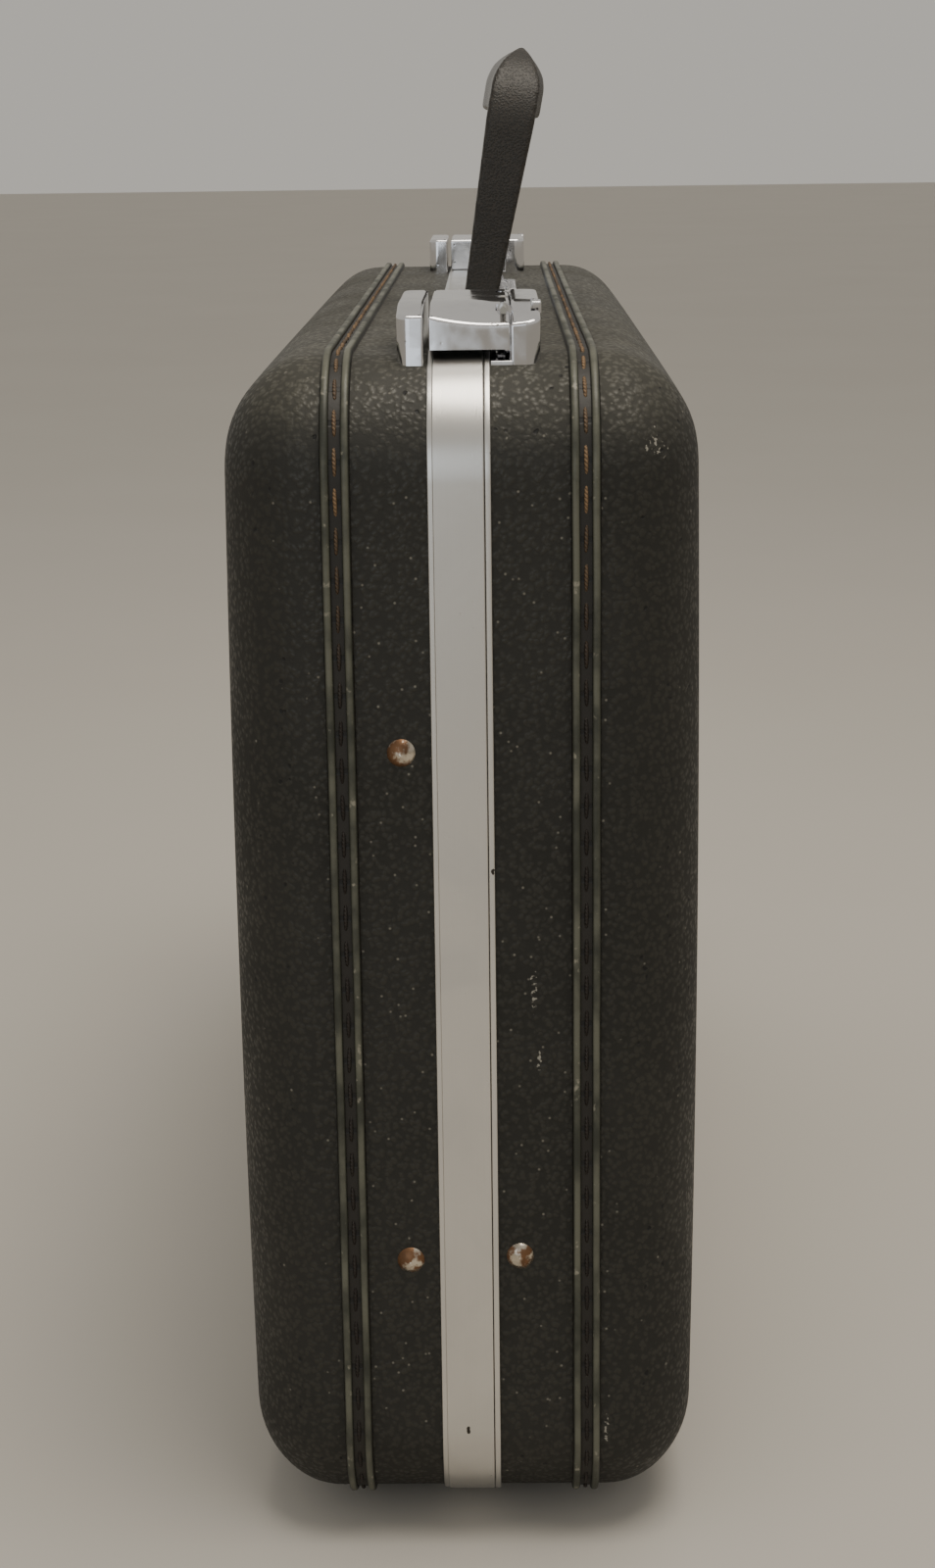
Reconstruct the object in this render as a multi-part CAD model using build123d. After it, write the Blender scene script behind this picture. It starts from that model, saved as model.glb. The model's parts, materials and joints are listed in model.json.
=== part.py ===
from build123d import *
from math import asin, atan2, cos, degrees, hypot, radians, sin
import os

os.makedirs("parts", exist_ok=True)

# A hard-sided attache case that stands on its hinge side. X runs along the case, Y through its
# thickness (lid at -Y, base at +Y) and Z up to the handle. z = 0 is the plane that the feet stand on.

# ---- overall case ----
case_length = 457.0
case_height = 324.0
case_depth = 127.0
corner_radius = 30.0
face_radius = 26.0
wall = 2.6

# ---- feet ----
foot_height = 6.5
foot_radius = 6.0
foot_chamfer = 1.2
foot_from_end = 58.5
foot_from_face = 20.5

# ---- closure frames: two aluminium extrusions that meet at the seam ----
band_proud = 1.2
margin_width = 1.3
margin_step = 0.35
seam_y = 6.0
seam_gap = 0.15
lid_band_width = 14.5
base_lip_width = 1.6
frame_wall = 1.8
leg_gap = 0.15
leg_thickness = 1.5
leg_reach = 22.0
lid_rim_cover = 2.9
tongue_reach = 3.2
tongue_thickness = 1.2
tongue_inset = 3.7
groove_outer_gap = 0.2
groove_inner_gap = 0.9
groove_end_gap = 0.5
groove_wall = 0.7

# ---- welts: two ribs with a stitched channel between them, round each shell ----
welt_from_round = 3.16
rib_pitch = 5.19
rib_width = 2.2
rib_height = 1.8
channel_floor = 0.5

# ---- lining and document pocket ----
lining_gap = 0.1
lining_thickness = 1.0
pocket_end_margin = 38.5
pocket_bottom_margin = 40.0
pocket_top_margin = 69.0
pocket_thickness = 4.0
pocket_corner = 12.0

# ---- hinges ----
hinge_from_end = 108.5
hinge_width = 42.0
knuckle_radius = 2.1
knuckle_share = 12.6
knuckle_gap = 0.2
hinge_pin_radius = 1.1
pin_clearance = 0.05
hinge_drop = 2.4
leaf_thickness = 0.8
lid_leaf_reach = 14.0
base_leaf_reach = 14.5
leaf_rivet_x = 14.0
leaf_rivet_from_edge = 6.0
leaf_rivet_radius = 1.2
leaf_rivet_head = 2.2
leaf_rivet_dome = 0.9

# ---- latches ----
latch_from_end = 48.5
latch_length = 60.0
latch_height = 13.0
keeper_band_gap = 0.8
keeper_width = 7.0
hasp_band_start = 0.6
hasp_past_lip = 5.25
hasp_sweep_gap = 0.3
hasp_wall = 1.4
hasp_floor_gap = 0.4
housing_gap = 0.2
housing_width = 7.6
foot_lip_gap = 0.25
latch_plate = 1.0
latch_corner = 5.0
latch_edge = 1.0
latch_sink = 6.0
hasp_pin_inset = 1.7
hasp_pin_radius = 0.9
ear_offset = 19.0
ear_thickness = 4.0
ear_gap = 0.3
slide_offset = 13.0
slide_length = 9.0
slide_travel = 5.0
slide_depth = 2.2
slide_height = 3.2
slide_proud = 0.4
slide_gap = 0.15
slide_stem_depth = 2.0
slide_stem_height = 1.4
coil_length = 7.0
coil_wire = 0.6
coil_gap = 0.1

# ---- handle ----
handle_lean = 10.3
handle_pivot_before_lip = 2.65
handle_floor_gap = 0.6
handle_reach = 74.6
handle_half_length = 67.5
handle_corner = 26.0
grip_half_width = 7.4
leg_half_width = 5.2
leg_length = 11.5
leg_taper_end = 52.0
arch_start = 63.0
arch_mid_share = 0.62
finger_height = 54.0
finger_corner = 16.0
handle_pin_radius = 2.0
handle_pin_depth = 8.0
lug_thickness = 3.1
lug_gap = 0.4
lug_radius = 5.0
plate_half_length = 82.0
plate_width = 8.6
plate_thickness = 1.6
plate_corner = 3.0

# ---- lid stays: an arm on the base whose stud runs in a slotted track on the lid ----
lid_opening = 90.0
stay_ratio = 1.41
stay_pivot_from_groove = 3.2
stay_pivot_rise = 82.0
stay_stud_from_round = 9.5
stay_stud_rise = 226.0
stud_radius = 2.5
stud_slack = 0.35
stud_head = 1.0
stud_head_height = 1.0
track_offset = 1.55
track_thickness = 1.2
track_margin = 4.0
arm_gap = 0.4
arm_thickness = 1.2
arm_width = 12.0
track_rivet_from_band = 7.8
track_rivet_low_rise = 81.0
track_rivet_high_rise = 224.0
track_tab_radius = 5.5
stay_rivet_radius = 2.0
stay_rivet_head = 3.7
stay_rivet_dome = 1.7
stay_spacer_radius = 2.9
stay_spacer_gap = 0.05
stay_tail_height = 0.9
path_steps = 18

# ---- working values for cutters and edge picking ----
far = 1000.0
cut_over = 1.0
pick_tolerance = 0.01

# ---- values that follow from the ones above ----
half_length = case_length / 2
half_depth = case_depth / 2
bottom = foot_height
top = foot_height + case_height
middle = foot_height + case_height / 2
lid_band_left = seam_y - lid_band_width
lip_left = seam_y + seam_gap
lip_right = lip_left + base_lip_width
leg_outer = -(wall + leg_gap)
leg_inner = leg_outer - leg_thickness
tongue_inner = -(tongue_inset + tongue_thickness)
groove_outer = -(tongue_inset - groove_outer_gap)
groove_inner = tongue_inner - groove_inner_gap
block_inner = groove_inner - groove_wall
groove_end = seam_y + tongue_reach + groove_end_gap
block_right = groove_end + groove_wall
hinge_y = (seam_y + lip_left) / 2
hinge_z = bottom - band_proud - hinge_drop
round_start = half_depth - face_radius
welt_outer_y = round_start - welt_from_round
welt_inner_y = welt_outer_y - rib_pitch
foot_x = half_length - foot_from_end
foot_y = half_depth - foot_from_face
hinge_x = half_length - hinge_from_end
latch_x = half_length - latch_from_end
keeper_right_y = lid_band_left - keeper_band_gap
latch_left_y = keeper_right_y - keeper_width
hasp_left_y = lid_band_left + hasp_band_start
hasp_right_y = lip_right + hasp_past_lip
housing_left_y = hasp_right_y + housing_gap
housing_right_y = housing_left_y + housing_width
latch_foot_y = lip_right + foot_lip_gap
handle_pivot_y = lip_right - handle_pivot_before_lip
handle_pivot_rise = band_proud + leg_half_width + handle_floor_gap
plate_left_y = lip_right + foot_lip_gap
plate_right_y = plate_left_y + plate_width
stay_pivot_y = block_right + stay_pivot_from_groove
stay_stud_y = stay_stud_from_round - round_start
track_rivet_y = lid_band_left - track_rivet_from_band


def write(shape, node):
    """Write one node's solids to its own STEP file."""
    solids = shape.solids()
    result = solids[0] if len(solids) == 1 else Compound(children=list(solids))
    result.label = node
    export_step(result, f"parts/{node}.step")


def box(x, y, z):
    """Box between two corners given as (low, high) pairs."""
    centre = [(low + high) / 2 for low, high in (x, y, z)]
    size = [high - low for low, high in (x, y, z)]
    return Pos(*centre) * Box(*size)


def rod_x(radius, x_from, x_to, y, z):
    """Cylinder along X."""
    length = x_to - x_from
    return Pos((x_from + x_to) / 2, y, z) * Rot(0, 90, 0) * Cylinder(radius, length)


def rod_z(radius, x, y, z_from, z_to):
    """Cylinder along Z."""
    return Pos(x, y, (z_from + z_to) / 2) * Cylinder(radius, z_to - z_from)


def prism(grow, y_from, y_to):
    """The case outline grown outwards by grow, between two y planes."""
    outline = RectangleRounded(case_length + 2 * grow, case_height + 2 * grow, corner_radius + grow)
    plane = Plane(origin=(0, y_from, middle), x_dir=(1, 0, 0), z_dir=(0, -1, 0))
    return extrude(plane * outline, amount=y_to - y_from, dir=(0, 1, 0))


def ring(y_from, y_to, grow_inner, grow_outer):
    """A band all round the case outline."""
    return prism(grow_outer, y_from, y_to) - prism(grow_inner, y_from, y_to)


def tray_form(inset, rim_y, face_y):
    """Solid form of one half of the case on the +Y side, its outer face edge rounded."""
    form = prism(-inset, rim_y, face_y)
    face = form.faces().sort_by(Axis.Y)[-1]
    return fillet(face.edges(), face_radius - inset)


def tray(inset, thickness, rim_y):
    """Hollow half on the +Y side: its outer surface lies inset inside the case's own."""
    face_y = half_depth - inset
    outer = tray_form(inset, rim_y, face_y)
    inner = tray_form(inset + thickness, rim_y, face_y - thickness)
    return outer - inner


def to_lid(shape):
    """Mirror a +Y shape to the lid side."""
    return mirror(shape, about=Plane.XZ)


def end_layer(side, outer, inner):
    """X range of a layer inside an end wall, from its depths below the outer surface."""
    ends = (side * (half_length - outer), side * (half_length - inner))
    return min(ends), max(ends)


# ---- stays: the stud's path in the closed lid's frame ----
arm_reach_y = stay_pivot_y - stay_stud_y
arm_reach_z = stay_stud_rise - stay_pivot_rise
arm_length = hypot(arm_reach_y, arm_reach_z)
arm_start = atan2(arm_reach_y, arm_reach_z)
stay_pivot_z = bottom + stay_pivot_rise


def stud_place(opening):
    """Stud centre (y, z) in the lid's own frame when the lid is open by opening radians."""
    pivot_y = stay_pivot_y - hinge_y
    pivot_z = stay_pivot_z - hinge_z
    lean = arm_start + (stay_ratio - 1) * opening
    y = pivot_y * cos(opening) + pivot_z * sin(opening) - arm_length * sin(lean)
    z = -pivot_y * sin(opening) + pivot_z * cos(opening) + arm_length * cos(lean)
    return y + hinge_y, z + hinge_z


def path_strip(half_width):
    """Face that follows the stud's path, with round ends, in the YZ plane."""
    points = [stud_place(radians(lid_opening) * step / path_steps) for step in range(path_steps + 1)]
    sides = ([], [])
    for index, (y, z) in enumerate(points):
        before = points[max(index - 1, 0)]
        after = points[min(index + 1, path_steps)]
        run_y = after[0] - before[0]
        run_z = after[1] - before[1]
        run = hypot(run_y, run_z)
        for side, sign in zip(sides, (1, -1)):
            side.append((y - sign * half_width * run_z / run, z + sign * half_width * run_y / run))
    edges = [Spline(*sides[0]), Spline(*sides[1])]
    for end, inner in ((0, 1), (-1, -2)):
        y, z = points[end]
        run_y = y - points[inner][0]
        run_z = z - points[inner][1]
        run = hypot(run_y, run_z)
        crown = (y + half_width * run_y / run, z + half_width * run_z / run)
        edges.append(ThreePointArc(sides[0][end], crown, sides[1][end]))
    return make_face(edges)


def capsule(start, end, half_width):
    """Flat bar with round ends between two (y, z) points, as a face in the YZ plane."""
    slot = SlotCenterToCenter(hypot(end[0] - start[0], end[1] - start[1]), 2 * half_width)
    turn = degrees(atan2(end[1] - start[1], end[0] - start[0]))
    return Pos((start[0] + end[0]) / 2, (start[1] + end[1]) / 2) * Rot(0, 0, turn) * slot


def yz_plate(face, x_range):
    """Extrude a face drawn in (y, z) between two x planes."""
    plane = Plane(origin=(x_range[0], 0, 0), x_dir=(0, 1, 0), z_dir=(1, 0, 0))
    return extrude(plane * face, amount=x_range[1] - x_range[0], dir=(1, 0, 0))


# ---- depths of the stay's layers below the outer surface of an end wall ----
leg_depth = -leg_inner
track_outer = leg_depth + track_offset
track_inner = track_outer + track_thickness
arm_outer = track_inner + arm_gap
arm_inner = arm_outer + arm_thickness


def rivet_x(side, y, z, tail_depth, tail_radius, tail_height):
    """Domed rivet through an end wall, with a flat tail head inside the case."""
    end = tail_depth + tail_height
    crown = hypot(stay_rivet_head, stay_rivet_dome) / 2
    sphere_radius = (stay_rivet_head ** 2 + stay_rivet_dome ** 2) / (2 * stay_rivet_dome)
    half_angle = asin(crown / sphere_radius)
    mid_radius = sphere_radius * sin(half_angle)
    mid_height = stay_rivet_dome - sphere_radius * (1 - cos(half_angle))
    outline = [(0, -end), (tail_radius, -end), (tail_radius, -tail_depth), (stay_rivet_radius, -tail_depth),
               (stay_rivet_radius, 0), (stay_rivet_head, 0)]
    if not tail_height:
        outline = [(0, -end), (stay_rivet_radius, -end), (stay_rivet_radius, 0), (stay_rivet_head, 0)]
    profile = make_face([
        Polyline(*outline),
        ThreePointArc((stay_rivet_head, 0), (mid_radius, mid_height), (0, stay_rivet_dome)),
        Line((0, stay_rivet_dome), (0, -end)),
    ])
    rivet = revolve(Plane.XZ * profile, Axis.Z)
    return Pos(side * half_length, y, z) * Rot(0, side * 90, 0) * rivet


# ---- holes that the rivets pass through ----
track_rivets = [(track_rivet_y, bottom + rise) for rise in (track_rivet_low_rise, track_rivet_high_rise)]


def through_end(side, y, z):
    """Cutter for a stay rivet's hole through the shell and the frame leg."""
    return rod_x(stay_rivet_radius, *end_layer(side, -cut_over, leg_depth + cut_over), y, z)


def leaf_rivet_places(y):
    """Centres (x, y) of the rivets in one leaf of each of the two hinges."""
    return [(side * hinge_x + step * leaf_rivet_x, y) for side in (-1, 1) for step in (-1, 1)]


base_rivet_y = hinge_y + base_leaf_reach - leaf_rivet_from_edge
lid_rivet_y = hinge_y - lid_leaf_reach + leaf_rivet_from_edge
base_rivet_places = leaf_rivet_places(base_rivet_y)
lid_rivet_places = leaf_rivet_places(lid_rivet_y)


def drill_leaf_rivets(shape, places):
    """Cut the hinge rivets' holes through the bottom of a shell or frame."""
    for x, y in places:
        shape -= rod_z(leaf_rivet_radius, x, y, 0, bottom + leg_depth + cut_over)
    return shape


# ---- shells ----
base_shell = tray(0, wall, lip_right)
lid_shell = to_lid(tray(0, wall, -(lid_band_left + lid_rim_cover)))
for side in (-1, 1):
    base_shell -= through_end(side, stay_pivot_y, stay_pivot_z)
    for place in track_rivets:
        lid_shell -= through_end(side, *place)
base_shell = drill_leaf_rivets(base_shell, base_rivet_places)
write(base_shell, "base_shell")
write(lid_shell, "lid_shell")

# ---- frames ----
lid_frame = ring(lid_band_left, seam_y, 0, band_proud)
lid_frame -= ring(lid_band_left, lid_band_left + margin_width, band_proud - margin_step, band_proud)
lid_frame += ring(seam_y - frame_wall, seam_y, tongue_inner, 0)
lid_frame += ring(-leg_reach, seam_y - frame_wall, leg_inner, leg_outer)
lid_frame += ring(seam_y, seam_y + tongue_reach, tongue_inner, -tongue_inset)

base_frame = ring(lip_left, lip_right, leg_outer, band_proud)
base_frame += ring(lip_left, block_right, block_inner, leg_outer)
base_frame -= ring(lip_left, groove_end, groove_inner, groove_outer)
base_frame += ring(block_right, leg_reach, leg_inner, leg_outer)
for side in (-1, 1):
    base_frame -= through_end(side, stay_pivot_y, stay_pivot_z)
    for place in track_rivets:
        lid_frame -= through_end(side, *place)
lid_frame = drill_leaf_rivets(lid_frame, lid_rivet_places)
base_frame = drill_leaf_rivets(base_frame, base_rivet_places)
write(lid_frame, "lid_frame")
write(base_frame, "base_frame")


# ---- welts ----
def welt():
    """Ribbed strip round the base shell."""
    strip_from = welt_inner_y - rib_width / 2
    strip_to = welt_outer_y + rib_width / 2
    strip = ring(strip_from, strip_to, 0, channel_floor)
    for centre in (welt_inner_y, welt_outer_y):
        strip += ring(centre - rib_width / 2, centre + rib_width / 2, 0, rib_height)
    return strip


write(welt(), "base_welt")
write(to_lid(welt()), "lid_welt")

# ---- linings and document pocket ----
lining_rim = leg_reach + lining_gap
lining_inset = wall + lining_gap
write(tray(lining_inset, lining_thickness, lining_rim), "base_lining")
write(to_lid(tray(lining_inset, lining_thickness, lining_rim)), "lid_lining")

pocket_back = -(half_depth - lining_inset - lining_thickness)
pocket_length = case_length - 2 * pocket_end_margin
pocket_height = case_height - pocket_bottom_margin - pocket_top_margin
pocket_outline = RectangleRounded(pocket_length, pocket_height, pocket_corner)
pocket_plane = Plane(
    origin=(0, pocket_back, bottom + pocket_bottom_margin + pocket_height / 2),
    x_dir=(1, 0, 0),
    z_dir=(0, -1, 0),
)
pocket = extrude(pocket_plane * pocket_outline, amount=pocket_thickness, dir=(0, 1, 0))
write(pocket, "document_pocket")


# ---- feet ----
def foot(x, y):
    """Round glide whose top follows the shell's rounded edge."""
    glide = Pos(x, y, foot_height) * Cylinder(foot_radius, 2 * foot_height)
    glide = chamfer(glide.edges().sort_by(Axis.Z)[0], foot_chamfer)
    return glide - tray_form(0, lip_right, half_depth)


base_feet = foot(-foot_x, foot_y) + foot(foot_x, foot_y)
write(base_feet, "base_feet")
write(to_lid(base_feet), "lid_feet")

# ---- hinges ----
knuckle_bore = hinge_pin_radius + pin_clearance
leaf_top = hinge_z + hinge_drop
middle_half = hinge_width / 2 - knuckle_share


def lid_leaf(x):
    """Leaf on the lid's band with the middle knuckle."""
    knuckle = (x - middle_half + knuckle_gap, x + middle_half - knuckle_gap)
    leaf_left = hinge_y - lid_leaf_reach
    clear = knuckle_radius + knuckle_gap
    layer = (leaf_top - leaf_thickness, leaf_top)
    leaf = box((x - hinge_width / 2, x + hinge_width / 2), (leaf_left, hinge_y - clear), layer)
    leaf += box(knuckle, (hinge_y - clear, hinge_y), layer)
    leaf += rod_x(knuckle_radius, *knuckle, hinge_y, hinge_z)
    leaf -= rod_x(knuckle_bore, *knuckle, hinge_y, hinge_z)
    return leaf


def base_leaf(x):
    """Leaf on the base shell, stepped over the lip, with the two outer knuckles."""
    clear = hinge_y + knuckle_radius + knuckle_gap
    leaf_right = hinge_y + base_leaf_reach
    layer = (bottom - leaf_thickness, bottom)
    leaf = box((x - hinge_width / 2, x + hinge_width / 2), (clear, leaf_right), layer)
    for side in (-1, 1):
        outer = x + side * hinge_width / 2
        inner = x + side * middle_half
        knuckle = (min(outer, inner), max(outer, inner))
        leaf += box(knuckle, (hinge_y, clear + leaf_thickness), (leaf_top - leaf_thickness, leaf_top))
        leaf += box(knuckle, (clear, clear + leaf_thickness), (leaf_top - leaf_thickness, bottom))
        leaf += rod_x(knuckle_radius, *knuckle, hinge_y, hinge_z)
        leaf -= rod_x(hinge_pin_radius, *knuckle, hinge_y, hinge_z)
    return leaf


def leaf_rivets(places, head_z, tail_z):
    """Small rivets that hold the leaves, their domed heads below."""
    rivets = []
    for x, y in places:
        head = Pos(x, y, head_z - leaf_rivet_dome / 2) * Cylinder(leaf_rivet_head, leaf_rivet_dome)
        head = chamfer(head.edges().sort_by(Axis.Z)[0], leaf_rivet_dome / 2)
        shank = rod_z(leaf_rivet_radius, x, y, head_z, tail_z)
        tail = rod_z(leaf_rivet_radius + leaf_rivet_dome / 2, x, y, tail_z, tail_z + leaf_rivet_dome)
        rivets.append(head + shank + tail)
    return Compound(children=rivets)


for name, side in (("left", -1), ("right", 1)):
    x = side * hinge_x
    write(drill_leaf_rivets(lid_leaf(x), lid_rivet_places), f"{name}_hinge_lid_leaf")
    write(drill_leaf_rivets(base_leaf(x), base_rivet_places), f"{name}_hinge_base_leaf")
    pin = rod_x(hinge_pin_radius, x - hinge_width / 2, x + hinge_width / 2, hinge_y, hinge_z)
    write(pin, f"{name}_hinge_pin")
write(leaf_rivets(lid_rivet_places, leaf_top - leaf_thickness, bottom), "lid_hinge_rivets")
write(leaf_rivets(base_rivet_places, bottom - leaf_thickness, bottom + leg_depth), "base_hinge_rivets")

# ---- latches ----
latch_top = top + latch_height
hasp_pin_y = hasp_right_y - hasp_pin_inset
hasp_pin_z = latch_top - hasp_pin_inset
hasp_bottom = top + band_proud + hasp_floor_gap
hasp_bore = hasp_pin_radius + pin_clearance
sweep_radius = hasp_pin_y - keeper_right_y - hasp_sweep_gap
case_form = prism(0, -half_depth, half_depth)


def latch_block(x, y_range):
    """Block of the latch's full length and height, sunk into the case for later trimming."""
    return box((x - latch_length / 2, x + latch_length / 2), y_range, (top - latch_sink, latch_top))


def upright_edges(shape, y):
    """The vertical edges of a block on one of its y sides."""
    return shape.edges().filter_by(Axis.Z).filter_by_position(
        Axis.Y, y - pick_tolerance, y + pick_tolerance
    )


def keeper(x):
    """Fixed half of the latch, on the lid."""
    block = latch_block(x, (latch_left_y, keeper_right_y))
    block = fillet(upright_edges(block, latch_left_y), latch_corner)
    block = chamfer(block.faces().sort_by(Axis.Z)[-1].edges(), latch_edge)
    return block - case_form


def ear_range(x, side, gap):
    """X range of one of the two ears that carry the hasp's pin."""
    centre = x + side * ear_offset
    return centre - ear_thickness / 2 - gap, centre + ear_thickness / 2 + gap


def coil_range(x, gap):
    """X range of the coil on the middle of the hasp's pin."""
    return x - coil_length / 2 - gap, x + coil_length / 2 + gap


def slide_range(side):
    """X range of the slide button at rest; side is the end of the case that it is near."""
    start = side * (latch_x + slide_offset - slide_length / 2)
    end = side * (latch_x + slide_offset + slide_length / 2)
    return min(start, end), max(start, end)


def slide_slot(side):
    """X range of the button's slot, which leaves room for its travel outwards."""
    low, high = slide_range(side)
    if side > 0:
        return low - slide_gap, high + slide_travel + slide_gap
    return low - slide_travel - slide_gap, high + slide_gap


slide_left_y = housing_right_y - slide_depth
slide_stem_z = latch_top - slide_height / 2


def housing(x, side):
    """Latch base: foot plate, fixed block with the button's slot, and the hasp's two ears."""
    block = latch_block(x, (housing_left_y, housing_right_y))
    block = fillet(upright_edges(block, housing_right_y), latch_corner)
    block = chamfer(block.faces().sort_by(Axis.Z)[-1].edges(), latch_edge)
    plate = box(
        (x - latch_length / 2, x + latch_length / 2),
        (latch_foot_y, housing_left_y + latch_edge),
        (top - latch_sink, top + latch_plate),
    )
    body = block + plate
    for ear in (-1, 1):
        span = ear_range(x, ear, 0)
        post = box(span, (hasp_pin_y - hasp_pin_inset, housing_left_y + latch_edge), (top, hasp_pin_z))
        post += rod_x(hasp_pin_inset, *span, hasp_pin_y, hasp_pin_z)
        body += post
    body -= rod_x(hasp_pin_radius, x - latch_length / 2 + latch_edge, x + latch_length / 2 - latch_edge,
                  hasp_pin_y, hasp_pin_z)
    slot = slide_slot(side)
    button_low = latch_top - slide_height - slide_gap
    body -= box(slot, (slide_left_y - slide_gap, housing_right_y + far), (button_low, latch_top + far))
    stem_half = slide_stem_height / 2 + slide_gap
    body -= box(slot, (slide_left_y - slide_stem_depth - slide_gap, slide_left_y),
                (slide_stem_z - stem_half, slide_stem_z + stem_half))
    return body - case_form


def hasp(x):
    """Lever cap that covers the band and turns up about its pin."""
    half = latch_length / 2
    profile = box((x - half, x + half), (hasp_left_y, hasp_pin_y), (hasp_bottom, latch_top))
    profile += box((x - half, x + half), (hasp_left_y, hasp_right_y), (hasp_bottom, hasp_pin_z))
    profile += rod_x(hasp_pin_inset, x - half, x + half, hasp_pin_y, hasp_pin_z)
    profile &= rod_x(sweep_radius, x - half, x + half, hasp_pin_y, hasp_pin_z)
    hollow = box(
        (x - half + hasp_wall, x + half - hasp_wall),
        (hasp_left_y + 2 * hasp_wall, hasp_pin_y - hasp_pin_inset - hasp_wall),
        (hasp_bottom - cut_over, latch_top - hasp_wall),
    )
    lower = box(
        (x - half + hasp_wall, x + half - hasp_wall),
        (hasp_left_y + 2 * hasp_wall, hasp_right_y - hasp_wall),
        (hasp_bottom - cut_over, hasp_pin_z - hasp_pin_inset - ear_gap),
    )
    cap = profile - hollow - lower
    for span in (ear_range(x, -1, ear_gap), coil_range(x, ear_gap), ear_range(x, 1, ear_gap)):
        cap -= box(
            span,
            (hasp_pin_y - hasp_pin_inset - ear_gap, hasp_right_y + cut_over),
            (hasp_bottom - cut_over, latch_top + cut_over),
        )
    cap -= rod_x(hasp_bore, x - half + latch_edge, x + half - latch_edge, hasp_pin_y, hasp_pin_z)
    return cap


def slide_button(side):
    """Thumb slide with a stem that keeps it in the housing."""
    span = slide_range(side)
    button = box(span, (slide_left_y, housing_right_y + slide_proud),
                 (latch_top - slide_height, latch_top - slide_gap))
    stem_half = slide_stem_height / 2
    button += box(span, (slide_left_y - slide_stem_depth, slide_left_y),
                  (slide_stem_z - stem_half, slide_stem_z + stem_half))
    return button


def torsion_spring(x):
    """Coil round the pin with a leg down to the foot plate; it lifts the hasp once it is let go."""
    inner = hasp_pin_radius + coil_gap
    low, high = coil_range(x, 0)
    spring = rod_x(inner + coil_wire, low, high, hasp_pin_y, hasp_pin_z)
    spring -= rod_x(inner, low, high, hasp_pin_y, hasp_pin_z)
    leg_y = (hasp_pin_y - inner - coil_wire, hasp_pin_y - inner)
    return spring + box((low, low + coil_wire), leg_y, (top + latch_plate, hasp_pin_z))


for name, side in (("left", -1), ("right", 1)):
    x = side * latch_x
    write(keeper(x), f"{name}_latch_keeper")
    write(housing(x, side), f"{name}_latch_housing")
    write(hasp(x), f"{name}_latch_hasp")
    write(slide_button(side), f"{name}_latch_slide")
    write(torsion_spring(x), f"{name}_latch_spring")
    pin_half = latch_length / 2 - 2 * latch_edge
    write(rod_x(hasp_pin_radius, x - pin_half, x + pin_half, hasp_pin_y, hasp_pin_z), f"{name}_latch_pin")

# ---- handle: drawn upright with its pivot at the origin, then leaned and lifted into place ----
handle_pivot_z = top + handle_pivot_rise
handle_place = Pos(0, handle_pivot_y, handle_pivot_z) * Rot(-handle_lean, 0, 0)
leg_inner_x = handle_half_length - leg_length


def handle_grip():
    """Bail handle: its front outline and its end outline, each extruded and intersected."""
    outer = RectangleRounded(2 * handle_half_length, 2 * handle_reach, handle_corner)
    inner = RectangleRounded(2 * leg_inner_x, 2 * finger_height, finger_corner)
    front = extrude(Plane.XZ * (outer - inner), amount=far, both=True)
    taper_left = (-leg_half_width, 0)
    grip_left = (-grip_half_width, leg_taper_end)
    arch_left = (-grip_half_width, arch_start)
    apex = (0, handle_reach)
    arch_rise = handle_reach - arch_start
    arch_mid = (-grip_half_width * arch_mid_share, arch_start + arch_rise * arch_mid_share)
    right = [(-y, z) for y, z in (arch_mid, arch_left, grip_left, taper_left)]
    end = make_face([
        Polyline(taper_left, grip_left, arch_left),
        ThreePointArc(arch_left, arch_mid, apex),
        ThreePointArc(apex, right[0], right[1]),
        Polyline(right[1], right[2], right[3]),
        ThreePointArc(right[3], (0, -leg_half_width), taper_left),
    ])
    grip = front & yz_plate(end, (-handle_half_length, handle_half_length))
    for side in (-1, 1):
        bore = (side * leg_inner_x, side * (leg_inner_x + handle_pin_depth + pin_clearance))
        grip -= rod_x(handle_pin_radius + pin_clearance, min(bore), max(bore), 0, 0)
    return grip


write(handle_place * handle_grip(), "handle_grip")

handle_plate = extrude(
    Pos(0, (plate_left_y + plate_right_y) / 2, top)
    * RectangleRounded(2 * plate_half_length, plate_right_y - plate_left_y, plate_corner),
    amount=plate_thickness,
)
write(handle_plate, "handle_plate")

lug_outer_x = leg_inner_x - lug_gap
lug_low = top + plate_thickness
lug_outline = make_hull([
    (Pos(handle_pivot_y, handle_pivot_z) * Circle(lug_radius)).edge(),
    Line((plate_left_y, lug_low), (plate_right_y - plate_corner, lug_low)),
])
for name, side in (("left", -1), ("right", 1)):
    lug_span = sorted((side * lug_outer_x, side * (lug_outer_x - lug_thickness)))
    pin_span = sorted((side * (lug_outer_x - lug_thickness), side * (leg_inner_x + handle_pin_depth)))
    lug = yz_plate(lug_outline, lug_span)
    lug -= rod_x(handle_pin_radius, *lug_span, handle_pivot_y, handle_pivot_z)
    write(lug, f"{name}_handle_lug")
    write(rod_x(handle_pin_radius, *pin_span, handle_pivot_y, handle_pivot_z), f"{name}_handle_pin")

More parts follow.
